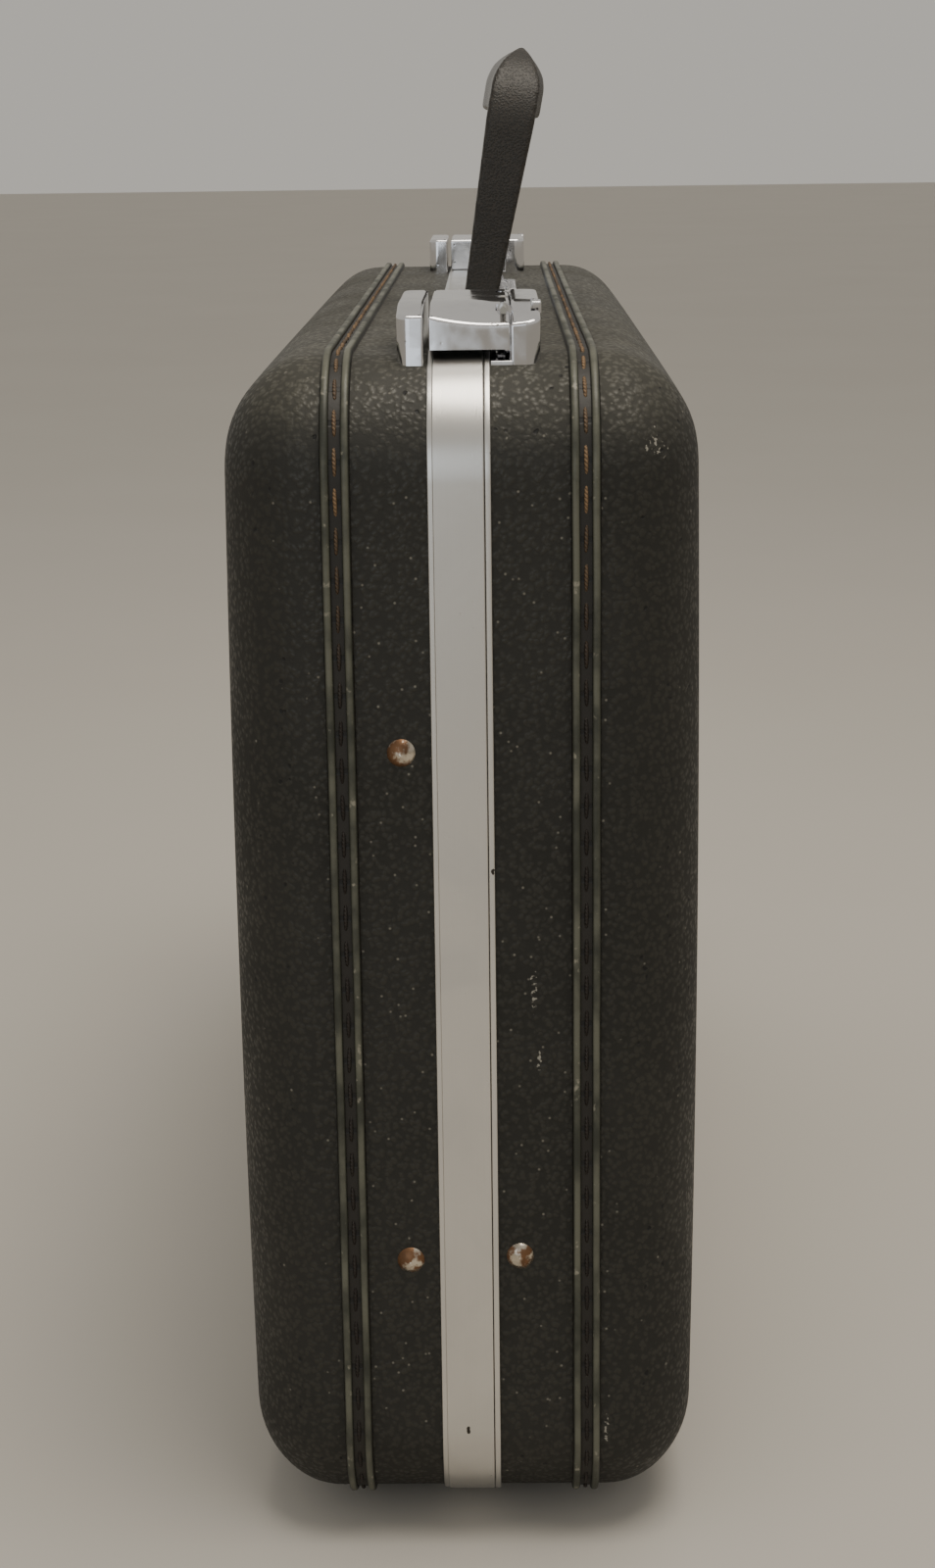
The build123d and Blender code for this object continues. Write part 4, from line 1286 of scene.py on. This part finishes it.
@dataclass
class Latch:
    """One latch: keeper on the lid, lever cap over the band, housing with a thumb slide, coil and pin."""

    outline: CaseOutline
    end: End
    corner: float = 5 * MM
    gentle: float = 0.4 * MM
    edge: float = 1.1 * MM
    edge_steps: int = 4
    skin: float = 1.3 * MM
    notch_gap: float = 0.3 * MM
    ear_place: float = 19 * MM
    ear_width: float = 4 * MM
    ear_radius: float = 1.7 * MM
    notch_depth: float = 3.7 * MM
    slide_travel: float = 5 * MM
    slide_depth: float = 2.2 * MM
    slide_flat: float = 1.2 * MM
    rib_dip: float = 0.35 * MM
    slot_gap: float = 0.2 * MM
    slide_ribs: int = 5
    sunk: float = 0.3 * MM
    slope_reach: float = 19 * MM
    slope_drop: float = 2.8 * MM
    dish_drop: float = 2.4 * MM
    dish_reach: float = 17 * MM
    dish_lean: float = 2.5 * MM
    coil_turns: int = 9
    wire_radius: float = 0.3 * MM

    def node(self, part: str) -> str:
        """Name of one of this latch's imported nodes."""
        return f"{self.end.side}_latch_{part}"

    def top_drop(self, x: float, y: float) -> float:
        """How far the top is lowered at a place: it falls to the outer end, and is dished there."""
        cap_low, cap_high = box(self.node("hasp"))
        outer = max(abs(cap_low.x), abs(cap_high.x))
        share = smooth_step(abs(x), outer - self.slope_reach, outer + 4 * MM)
        middle = (cap_low.y + box(self.node("housing"))[1].y) / 2 + self.dish_lean
        across = min(1.0, abs(y - middle) / self.dish_reach)
        return share * (self.slope_drop + self.dish_drop * (1 - across * across))

    def shaped(self, bm: bmesh.types.BMesh, low: float, high: float) -> bmesh.types.BMesh:
        """Slice a block, lower its top to the latch's form and sit its foot on the case."""
        xs = [v.co.x for v in bm.verts]
        ys = [v.co.y for v in bm.verts]
        slice_block(bm, 0, steps_between(min(xs), max(xs), 24))
        slice_block(bm, 1, steps_between(min(ys), max(ys), 9))
        slice_block(bm, 2, [low + 1.5 * MM, (low + high) / 2])
        for vert in bm.verts:
            share = smooth_step(vert.co.z, low + 1.5 * MM, high - 1.5 * MM)
            if vert.co.z <= low + 1e-6:
                vert.co.z = self.outline.surface(vert.co.x) - self.sunk
            else:
                vert.co.z -= share * self.top_drop(vert.co.x, vert.co.y)
        return bm

    def plan(self, x: Point, y: Point, round_low: bool, round_high: bool) -> list[Point]:
        """Plan outline with its low-y or high-y corners rounded."""
        radii = [self.corner if large else self.gentle for large in (round_low,) * 2 + (round_high,) * 2]
        return rounded(box_outline(x, y), radii, 6)

    def finish_piece(self, piece: bpy.types.Object, part: str, body: str, finish: Finish) -> bpy.types.Object:
        """Dress a piece of the latch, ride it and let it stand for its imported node."""
        finish.dress(piece)
        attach(piece, body)
        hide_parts(self.node(part))
        return piece

    def build_keeper(self) -> bpy.types.Object:
        """Fixed half on the lid."""
        low, high = box(self.node("keeper"))
        foot = self.outline.top
        outline = self.plan((low.x, high.x), (low.y, high.y), True, False)
        bm = prism_bmesh(outline, foot, high.z, self.edge, self.edge_steps)
        piece = from_bmesh(f"{self.end.side}_latch_keeper_casting", self.shaped(bm, foot, high.z))
        crisp(piece)
        return self.finish_piece(piece, "keeper", "lid", CHROME)

    def build_cap(self) -> bpy.types.Object:
        """Lever cap: a pressed shell, open below, notched for the ears and the coil."""
        low, high = box(self.node("hasp"))
        outline = self.plan((low.x, high.x), (low.y, high.y), False, False)
        bm = prism_bmesh(outline, low.z, high.z, self.edge, self.edge_steps)
        self.shape_cap(bm, low, high)
        piece = from_bmesh(f"{self.end.side}_latch_cap", bm)
        inner = prism_bmesh(box_outline((low.x + self.skin, high.x - self.skin),
                                        (low.y + self.skin, high.y - self.skin)),
                            low.z - 1 * MM, high.z - self.skin, 0.3 * MM, 2)
        self.shape_cap(inner, low, high)
        cutters = [from_bmesh("hollow_tool", inner)]
        for x in self.notches():
            notch = prism_bmesh(box_outline(x, (high.y - self.notch_depth, high.y + 1 * MM)), low.z - 1 * MM,
                                high.z + 1 * MM, 0.1 * MM, 1)
            cutters.append(from_bmesh("notch_tool", notch))
        carve(piece, cutters)
        crisp(piece)
        return self.finish_piece(piece, "hasp", f"{self.end.side}_hasp", CHROME)

    def shape_cap(self, bm: bmesh.types.BMesh, low: Vector, high: Vector) -> None:
        """Lower the cap's top to the latch's form and round its pin side."""
        slice_block(bm, 0, steps_between(low.x, high.x, 24))
        slice_block(bm, 1, steps_between(low.y, high.y, 9))
        slice_block(bm, 2, [(low.z + high.z) / 2])
        for vert in bm.verts:
            share = smooth_step(vert.co.z, low.z + 1.5 * MM, high.z - 1.5 * MM)
            vert.co.z -= share * self.top_drop(vert.co.x, vert.co.y)

    def notches(self) -> list[Point]:
        """X ranges of the three notches in the cap's pin side."""
        spring_low, spring_high = box(self.node("spring"))
        half = self.ear_width / 2 + self.notch_gap
        ears = [(x - half, x + half) for x in self.ear_places()]
        return [*ears, (spring_low.x - self.notch_gap, spring_high.x + self.notch_gap)]

    def ear_places(self) -> tuple[float, float]:
        """Places of the two ears along the case."""
        low, high = box(self.node("hasp"))
        centre = (low.x + high.x) / 2
        return centre - self.ear_place, centre + self.ear_place

    def build_housing(self) -> bpy.types.Object:
        """Fixed block with the slide's slot, the foot plate and the two ears that hold the pin."""
        low, high = box(self.node("housing"))
        cap_low, cap_high = box(self.node("hasp"))
        pin_low, pin_high = box(self.node("pin"))
        left = cap_high.y + 0.2 * MM
        foot = self.outline.top
        outline = self.plan((low.x, high.x), (left, high.y), False, True)
        bm = prism_bmesh(outline, foot, high.z, self.edge, self.edge_steps)
        piece = from_bmesh(f"{self.end.side}_latch_housing_block", self.shaped(bm, foot, high.z))
        slide_low, slide_high = box(self.node("slide"))
        travel = self.end.value * self.slide_travel
        slot = (slide_low.x + min(0.0, travel) - self.slot_gap,
                slide_high.x + max(0.0, travel) + self.slot_gap)
        well = prism_bmesh(box_outline(slot, (high.y - self.slide_depth - self.slot_gap, high.y + 5 * MM)),
                           slide_low.z - self.slot_gap, high.z + 5 * MM, 0.1 * MM, 1)
        carve(piece, [from_bmesh("slot_tool", well)])
        plate = prism_bmesh(box_outline((low.x, high.x), (low.y, left + 0.5 * MM)), foot,
                            foot + 1 * MM, 0.25 * MM, 2)
        slice_block(plate, 0, steps_between(low.x, high.x, 20))
        for vert in plate.verts:
            sunk = 0.0 if vert.co.z > foot + 1e-6 else self.sunk
            vert.co.z -= self.outline.top - self.outline.surface(vert.co.x) + sunk
        parts = [from_bmesh("plate_part", plate)]
        pin_y, pin_z = (pin_low.y + pin_high.y) / 2, (pin_low.z + pin_high.z) / 2
        parts += [self.ear(x, pin_y, pin_z, left + 0.5 * MM) for x in self.ear_places()]
        merge(piece, parts)
        crisp(piece)
        return self.finish_piece(piece, "housing", "base", CHROME)

    def ear(self, x: float, y: float, z: float, back: float) -> bpy.types.Object:
        """Ear that carries the pin: a post with a rounded head.

        Args:
            x: its place along the case.
            y: place of the pin across the case.
            z: height of the pin.
            back: place of its back face across the case.

        Returns:
            The ear.
        """
        radius = self.ear_radius
        floor = self.outline.surface(x) - 0.2 * MM
        profile: list[Point] = [(back, floor), (back, z)]
        profile += [(y + radius * math.cos(a), z + radius * math.sin(a))
                    for a in (math.pi * k / 10 for k in range(1, 11))]
        profile.append((y - radius, floor))
        bm = bmesh.new()
        rings = [[bm.verts.new((x + side * self.ear_width / 2, py, pz)) for py, pz in profile]
                 for side in (-1, 1)]
        bm.faces.new(rings[0])
        bm.faces.new(list(reversed(rings[1])))
        for k in range(len(profile)):
            m = (k + 1) % len(profile)
            bm.faces.new((rings[0][k], rings[1][k], rings[1][m], rings[0][m]))
        bmesh.ops.bevel(bm, geom=list(bm.edges), offset=0.2 * MM, segments=2, affect="EDGES")
        return from_bmesh("ear_part", bm)

    def build_slide(self) -> bpy.types.Object:
        """Thumb slide with five raised finger ribs and the stem behind it."""
        low, high = box(self.node("slide"))
        face = box(self.node("housing"))[1].y - self.slide_depth
        radii = [0.2 * MM, 0.2 * MM, 0.5 * MM, 0.5 * MM]
        outline = rounded(box_outline((low.x, high.x), (face, high.y)), radii, 3)
        bm = prism_bmesh(outline, low.z, high.z, 0.5 * MM, 3)
        start, ribs = low.x + self.slide_flat, self.slide_ribs
        reach = high.x - low.x - 2 * self.slide_flat
        slice_block(bm, 0, steps_between(start, high.x - self.slide_flat, 4 * ribs - 1))
        for vert in bm.verts:
            share = (vert.co.x - start) / reach
            if vert.co.z > high.z - 0.4 * MM and 0 <= share <= 1:
                vert.co.z -= self.rib_dip * (0.5 - 0.5 * math.cos(2 * math.pi * ribs * share))
        piece = from_bmesh(f"{self.end.side}_latch_thumb_slide", bm)
        stem = prism_bmesh(box_outline((low.x, high.x), (low.y, face + 0.3 * MM)), low.z + 0.8 * MM,
                           low.z + 2.2 * MM, 0.15 * MM, 2)
        merge(piece, [from_bmesh("stem_part", stem)])
        crisp(piece)
        return self.finish_piece(piece, "slide", f"{self.end.side}_slide", CHROME)

    def build_coil(self) -> bpy.types.Object:
        """Torsion coil round the pin, one leg down to the foot plate."""
        low, high = box(self.node("spring"))
        pin_low, pin_high = box(self.node("pin"))
        y, z = (pin_low.y + pin_high.y) / 2, (pin_low.z + pin_high.z) / 2
        radius = high.z - z - self.wire_radius
        steps = 16 * self.coil_turns
        reach = high.x - low.x - 2 * self.wire_radius
        path = [Vector((low.x + self.wire_radius, y - radius, low.z + (z - low.z) * k / 4)) for k in range(4)]
        for k in range(steps + 1):
            angle = math.pi - 2 * math.pi * k / 16
            path.append(Vector((low.x + self.wire_radius + reach * k / steps, y + radius * math.cos(angle),
                                z + radius * math.sin(angle))))
        verts, faces = tube(path, self.wire_radius, 8)
        piece = new_piece(f"{self.end.side}_latch_coil", verts, faces)
        return self.finish_piece(piece, "spring", "base", STEEL)

    def build(self) -> list[bpy.types.Object]:
        """Make the whole latch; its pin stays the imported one."""
        STEEL.dress(frame["nodes"][self.node("pin")])
        return [self.build_keeper(), self.build_cap(), self.build_housing(), self.build_slide(),
                self.build_coil()]


# ---------------------------------------------------------------- handle, hinges and stays


@dataclass
class Handle:
    """Carry handle: a bail of firm vinyl on two plated lugs over a plate."""

    voxel: float = 0.9 * MM
    plated_edge: float = 0.35 * MM
    smoothing: int = 5
    swell: float = 2.0 * MM
    swell_reach: float = 46 * MM
    lean_aside: float = 7 * MM
    grip_from: float = 40 * MM
    grip_full: float = 56 * MM
    grip_half: float = 6 * MM

    def build(self) -> list[bpy.types.Object]:
        """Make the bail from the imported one, and dress the plated parts that carry it."""
        piece = bpy.data.objects.new("handle_vinyl_bail", frame["nodes"]["handle_grip"].data.copy())
        bpy.context.scene.collection.objects.link(piece)
        remesh = piece.modifiers.new("even_mesh", "REMESH")
        remesh.mode = "VOXEL"
        remesh.voxel_size = self.voxel
        soften = piece.modifiers.new("soften", "SMOOTH")
        soften.factor = 0.5
        soften.iterations = self.smoothing
        bake(piece)
        self.fill_out(piece)
        VINYL.dress(piece)
        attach(piece, "handle")
        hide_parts("handle_grip")
        plated = [f"{end.side}_handle_{part}" for end in End for part in ("lug", "pin")]
        for name in ("handle_plate", *plated):
            node = frame["nodes"][name]
            CHROME.dress(node)
            ease_edges(node, self.plated_edge)
        return [piece]

    def fill_out(self, piece: bpy.types.Object) -> None:
        """Swell the middle of the grip across the case, as the hand expects it."""
        low, high = box("handle_grip")
        pivot = box("left_handle_pin")
        foot = Vector((0, (pivot[0].y + pivot[1].y) / 2, (pivot[0].z + pivot[1].z) / 2))
        lean = math.atan2((low.y + high.y) / 2 + self.lean_aside - foot.y, high.z - foot.z)
        along = Vector((0, math.sin(lean), math.cos(lean)))
        across = Vector((0, math.cos(lean), -math.sin(lean)))
        for vert in piece.data.vertices:
            reach = (vert.co - foot).dot(along)
            side = (vert.co - foot).dot(across)
            weight = 1 - smooth_step(abs(vert.co.x), self.swell_reach * 0.35, self.swell_reach)
            weight *= smooth_step(reach, self.grip_from, self.grip_full)
            vert.co += across * (weight * self.swell * max(-1.0, min(1.0, side / self.grip_half)))


@dataclass
class Hardware:
    """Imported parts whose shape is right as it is: each gets its finish, and its edges are eased."""

    name: str
    finish: Finish
    edge: float

    def build(self) -> list[bpy.types.Object]:
        """Dress the parts whose names hold this one's name."""
        nodes = [node for key, node in frame["nodes"].items() if self.name in key]
        for node in nodes:
            self.finish.dress(node)
            if self.edge:
                ease_edges(node, self.edge)
        return nodes


# ---------------------------------------------------------------- feet and cloth


@dataclass
class Glide:
    """Foot: a domed moulded button with a recess where its nail sits."""

    outline: CaseOutline
    half: Half
    end: End
    radius: float = 6 * MM
    sides: int = 40

    def build(self) -> list[bpy.types.Object]:
        """Turn the button and set it under the shell."""
        low, high = box(f"{self.half.body}_feet")
        centre_x = self.end.value * (high.x - self.radius)
        centre_y = (low.y + high.y) / 2
        recess = [(0.0, 1.6), (1.3, 1.6), (1.5, 1.4), (1.6, 0.35)]
        dome = [(2.0, 0.02), (2.8, 0.0), (3.9, 0.12), (4.9, 0.6), (5.5, 1.4), (5.8, 2.5), (5.9, 4.0),
                (6.0, 5.2)]
        top = [(6.0, 8.0), (5.0, 8.4), (0.0, 8.4)]
        bm = bmesh.new()
        rings = []
        for radius, height in recess + dome + top:
            count = self.sides if radius else 1
            rings.append([bm.verts.new((centre_x + radius * MM * math.cos(2 * math.pi * k / self.sides),
                                        centre_y + radius * MM * math.sin(2 * math.pi * k / self.sides),
                                        height * MM)) for k in range(count)])
        for lower, upper in zip(rings, rings[1:]):
            for k in range(self.sides):
                corners = [lower[k % len(lower)], lower[(k + 1) % len(lower)],
                           upper[(k + 1) % len(upper)], upper[k % len(upper)]]
                bm.faces.new(list(dict.fromkeys(corners)))
        piece = from_bmesh(f"{self.half.body}_{self.end.side}_glide", bm)
        piece.data.set_sharp_from_angle(angle=math.radians(55))
        GLIDE.dress(piece)
        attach(piece, self.half.body)
        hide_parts(f"{self.half.body}_feet")
        return [piece]


@dataclass
class Lining:
    """Woven lining cloth on board, bonded inside a shell."""

    shell: Shell
    gap: float = 0.1 * MM
    thickness: float = 1 * MM

    def build(self) -> list[bpy.types.Object]:
        """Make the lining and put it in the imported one's place."""
        half = self.shell.half
        low, high = box(f"{half.body}_lining")
        rim = min(abs(low.y), abs(high.y))
        piece = self.shell.tray(f"{half.body}_lining_cloth", self.shell.wall + self.gap, self.thickness, rim)
        LINING.dress(piece)
        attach(piece, half.body)
        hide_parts(f"{half.body}_lining")
        return [piece]


@dataclass
class DocumentPocket:
    """Gathered cloth pocket on the lid's lining: panel, elastic hem, binding and its seam."""

    lid: Shell
    lining: Lining
    corner: float = 12 * MM
    billow: float = 3.0 * MM
    gather: float = 0.8 * MM
    gather_pitch: float = 15 * MM
    cloth: float = 0.7 * MM
    hem_radius: float = 1.9 * MM
    binding_width: float = 8 * MM
    binding_thickness: float = 1.2 * MM
    seam_end: float = 3 * MM
    seam_pitch: float = 4 * MM
    columns: int = 180
    rows: int = 60

    @property
    def extent(self) -> tuple[float, float, float]:
        """Half length, bottom and top of the pocket."""
        low, high = box("document_pocket")
        return high.x, low.z, high.z

    def wall_at(self, x: float, z: float, lift: float) -> Vector:
        """Point a height above the lining, towards the inside of the case."""
        depth = self.lid.span()[1] - self.lid.wall - self.lining.gap - self.lining.thickness - lift
        flat = self.lid.crowned(Vector((x, self.lid.span()[1], z)))
        inward = self.lid.span()[1] - abs(flat.y)
        return Vector((x, self.lid.half.value * (depth - inward), z))

    def panel(self) -> bpy.types.Object:
        """The cloth itself: flat at its bound edges, full and gathered towards its opening."""
        half, bottom, top = self.extent
        verts = []
        for row in range(self.rows + 1):
            up = row / self.rows
            for column in range(self.columns + 1):
                x = half * (2 * column / self.columns - 1)
                z = bottom + (top - bottom) * up
                side = 1 - (abs(x) / half) ** 6
                full = self.billow * side * (math.sin(math.pi * min(1.0, 0.08 + 0.72 * up)) ** 0.7)
                phase = x / self.gather_pitch + 0.35 * noise.noise(Vector((x * 30, 0, z * 8)))
                ripple = self.gather * up ** 3 * side * math.cos(2 * math.pi * phase)
                loose = 0.5 * MM * side * up * noise.noise(Vector((x * 22, 3.0, z * 14)))
                verts.append(self.wall_at(x, z, 0.35 * MM + full + ripple + loose))
        wide = self.columns + 1
        faces = [(r * wide + c, r * wide + c + 1, (r + 1) * wide + c + 1, (r + 1) * wide + c)
                 for r in range(self.rows) for c in range(self.columns)]
        piece = new_piece("pocket_panel", verts, faces)
        thick = piece.modifiers.new("cloth", "SOLIDIFY")
        thick.thickness = self.cloth
        thick.offset = 0.0
        return bake(piece)

    def hem(self) -> bpy.types.Object:
        """Elastic hem along the opening."""
        half, _, top = self.extent
        path = []
        for step in range(241):
            x = half * (2 * step / 240 - 1)
            side = 1 - (abs(x) / half) ** 6
            lift = self.hem_radius + 0.3 * MM + side * (self.billow * 0.72 + self.gather * math.cos(
                2 * math.pi * x / self.gather_pitch))
            path.append(self.wall_at(x, top - self.hem_radius * 0.6, lift))
        verts, faces = tube(path, lambda share: self.hem_radius * (
            1 + 0.12 * math.cos(4 * math.pi * half / self.gather_pitch * (2 * share - 1))), 12)
        return new_piece("pocket_elastic_hem", verts, faces)

    def corner_place(self, x: float, angle: float, run: float) -> Station:
        """Place on one of the lower corners, whose centre is at x."""
        out_x, out_z = math.cos(angle), math.sin(angle)
        z = self.extent[1] + self.corner
        return Station(x + self.corner * out_x, z + self.corner * out_z, out_x, out_z, run)

    def bound_way(self, run: float) -> Station:
        """Place along the bound edge, from the left top down, across and up to the right top."""
        half, bottom, top = self.extent
        upright, flat, arc = top - bottom - self.corner, 2 * (half - self.corner), math.pi * self.corner / 2
        if run <= upright:
            return Station(-half, top - run, -1, 0, run)
        run -= upright
        if run <= arc:
            return self.corner_place(-half + self.corner, math.pi + run / self.corner, run)
        run -= arc
        if run <= flat:
            return Station(-half + self.corner + run, bottom, 0, -1, run)
        run -= flat
        if run <= arc:
            return self.corner_place(half - self.corner, 1.5 * math.pi + run / self.corner, run)
        return Station(half, bottom + self.corner + run - arc, 1, 0, run)

    @property
    def bound_length(self) -> float:
        """Length of the bound edge."""
        half, bottom, top = self.extent
        return 2 * (top - bottom - self.corner) + 2 * (half - self.corner) + math.pi * self.corner

    def bound_point(self, run: float, aside: float, lift: float) -> Vector:
        """Point on the binding's upper face."""
        place = self.bound_way(run)
        inset = self.binding_width / 2 - aside
        return self.wall_at(place.x - place.out_x * inset, place.z - place.out_z * inset,
                            self.binding_thickness + lift)

    def binding(self) -> bpy.types.Object:
        """Strip of vinyl over the panel's edge."""
        half_width, thick = self.binding_width / 2, self.binding_thickness
        under = -thick - 0.2 * MM
        corners = [(-half_width, under), (half_width, under), (half_width, 0.0), (-half_width, 0.0)]
        section = rounded(corners, [0.0, 0.0, 0.5 * MM, 0.5 * MM], 3)
        steps = round(self.bound_length / (4 * MM))
        bm = bmesh.new()
        rings = [[bm.verts.new(self.bound_point(self.bound_length * k / steps, aside, lift))
                  for aside, lift in section] for k in range(steps + 1)]
        bm.faces.new(rings[0])
        bm.faces.new(rings[-1])
        for lower, upper in zip(rings, rings[1:]):
            for k in range(len(section)):
                bm.faces.new((lower[k - 1], lower[k], upper[k], upper[k - 1]))
        return crisp(from_bmesh("pocket_binding", bm))

    def build(self) -> list[bpy.types.Object]:
        """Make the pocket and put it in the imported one's place."""
        panel, hem, binding = self.panel(), self.hem(), self.binding()
        for piece, finish in ((panel, POCKET), (hem, POCKET), (binding, BINDING)):
            finish.dress(piece)
            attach(piece, self.lid.half.body)
        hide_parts("document_pocket")
        seam = Seam("pocket_binding_stitches", self.bound_length - 2 * self.seam_end, self.seam_pitch,
                    lambda run, aside, lift: self.bound_point(run + self.seam_end, aside, lift),
                    THREAD, radius=0.3 * MM)
        stitches = seam.build(self.lid.half.body)
        return [panel, hem, binding, stitches]


# ---------------------------------------------------------------- studio


@dataclass
class Studio:
    """Pale floor, soft light and the camera."""

    floor_reach: float = 14.0
    place: tuple[float, float, float] = (0.866271, 0.009109, 0.389651)
    yaw: float = -0.013
    pitch: float = 0.257
    roll: float = -0.013
    lens: float = 58.21

    def floor(self) -> None:
        """Lay the floor at the feet."""
        bm = bmesh.new()
        bmesh.ops.create_grid(bm, x_segments=8, y_segments=8, size=self.floor_reach)
        floor = from_bmesh("floor", bm)
        FLOOR.dress(floor)

    def surroundings(self) -> None:
        """Pale warm light from all round."""
        world = bpy.data.worlds.new("pale_room")
        world.use_nodes = True
        background = world.node_tree.nodes["Background"]
        background.inputs["Color"].default_value = (0.80, 0.765, 0.70, 1)
        background.inputs["Strength"].default_value = 0.62
        bpy.context.scene.world = world

    def lamp(self, name: str, place: tuple[float, float, float], aim: tuple[float, float, float], size: float,
             watts: float, colour: tuple[float, float, float]) -> None:
        """Hang one soft square light.

        Args:
            name: the light's name.
            place: where it hangs.
            aim: what it points at.
            size: length of its side.
            watts: its power.
            colour: its colour.
        """
        light = bpy.data.lights.new(name, "AREA")
        light.size = size
        light.energy = watts
        light.color = colour
        lamp = bpy.data.objects.new(name, light)
        lamp.location = place
        lamp.rotation_euler = (Vector(aim) - Vector(place)).to_track_quat("-Z", "Y").to_euler()
        bpy.context.scene.collection.objects.link(lamp)

    def camera(self) -> None:
        """Set the camera where the case's end faces it from a little above."""
        down = Vector((-math.cos(self.pitch) * math.cos(self.yaw), math.cos(self.pitch) * math.sin(self.yaw),
                       -math.sin(self.pitch)))
        level = Vector((math.sin(self.yaw), math.cos(self.yaw), 0))
        upright = level.cross(down)
        right = level * math.cos(self.roll) + upright * math.sin(self.roll)
        up = upright * math.cos(self.roll) - level * math.sin(self.roll)
        data = bpy.data.cameras.new("camera")
        data.lens = self.lens
        camera = bpy.data.objects.new("camera", data)
        axes = Matrix((right, up, -down)).transposed()
        camera.matrix_world = Matrix.Translation(self.place) @ axes.to_4x4()
        bpy.context.scene.collection.objects.link(camera)
        bpy.context.scene.camera = camera

    def build(self) -> None:
        """Set up the whole studio."""
        self.floor()
        self.surroundings()
        self.lamp("overhead_softbox", (0.35, 0.25, 1.70), (0.10, 0.0, 0.20), 0.9, 16.0, (1.0, 0.93, 0.82))
        self.lamp("front_fill", (1.5, -0.4, 0.5), (0.2, 0.0, 0.17), 0.8, 2.0, (0.80, 0.90, 1.0))
        self.camera()


def main() -> None:
    """Build every sub-assembly in order, report its pieces, then set up the studio."""
    logging.basicConfig(level=logging.INFO, format="%(message)s")
    noise.seed_set(NOISE_SEED)
    outline = CaseOutline.from_frame()
    lid = Shell(outline, Half.LID, LID_SKIN)
    base = Shell(outline, Half.BASE, BASE_SKIN)
    lid_lining = Lining(lid)
    assemblies = [lid, base]
    assemblies += [Welt(outline, half) for half in Half]
    assemblies += [ClosureFrame(outline, half) for half in Half]
    assemblies += [Latch(outline, end) for end in End]
    assemblies += [Handle()]
    assemblies += [
        Hardware("hinge_lid_leaf", STEEL, 0.2 * MM),
        Hardware("hinge_base_leaf", STEEL, 0.2 * MM),
        Hardware("hinge_pin", STEEL, 0.15 * MM),
        Hardware("hinge_rivets", RIVET, 0.0),
        Hardware("stay_rivet", RIVET, 0.0),
        Hardware("stay_track", STEEL, 0.15 * MM),
        Hardware("stay_arm", STEEL, 0.15 * MM),
        Hardware("stay_stud", STEEL, 0.15 * MM),
    ]
    assemblies += [Glide(outline, half, end) for half in Half for end in End]
    assemblies += [lid_lining, Lining(base), DocumentPocket(lid, lid_lining)]
    for assembly in assemblies:
        for piece in assembly.build():
            LOG.info("%s: %d faces", piece.name, len(piece.data.polygons))
    Studio().build()


if __name__ == "__main__":
    main()
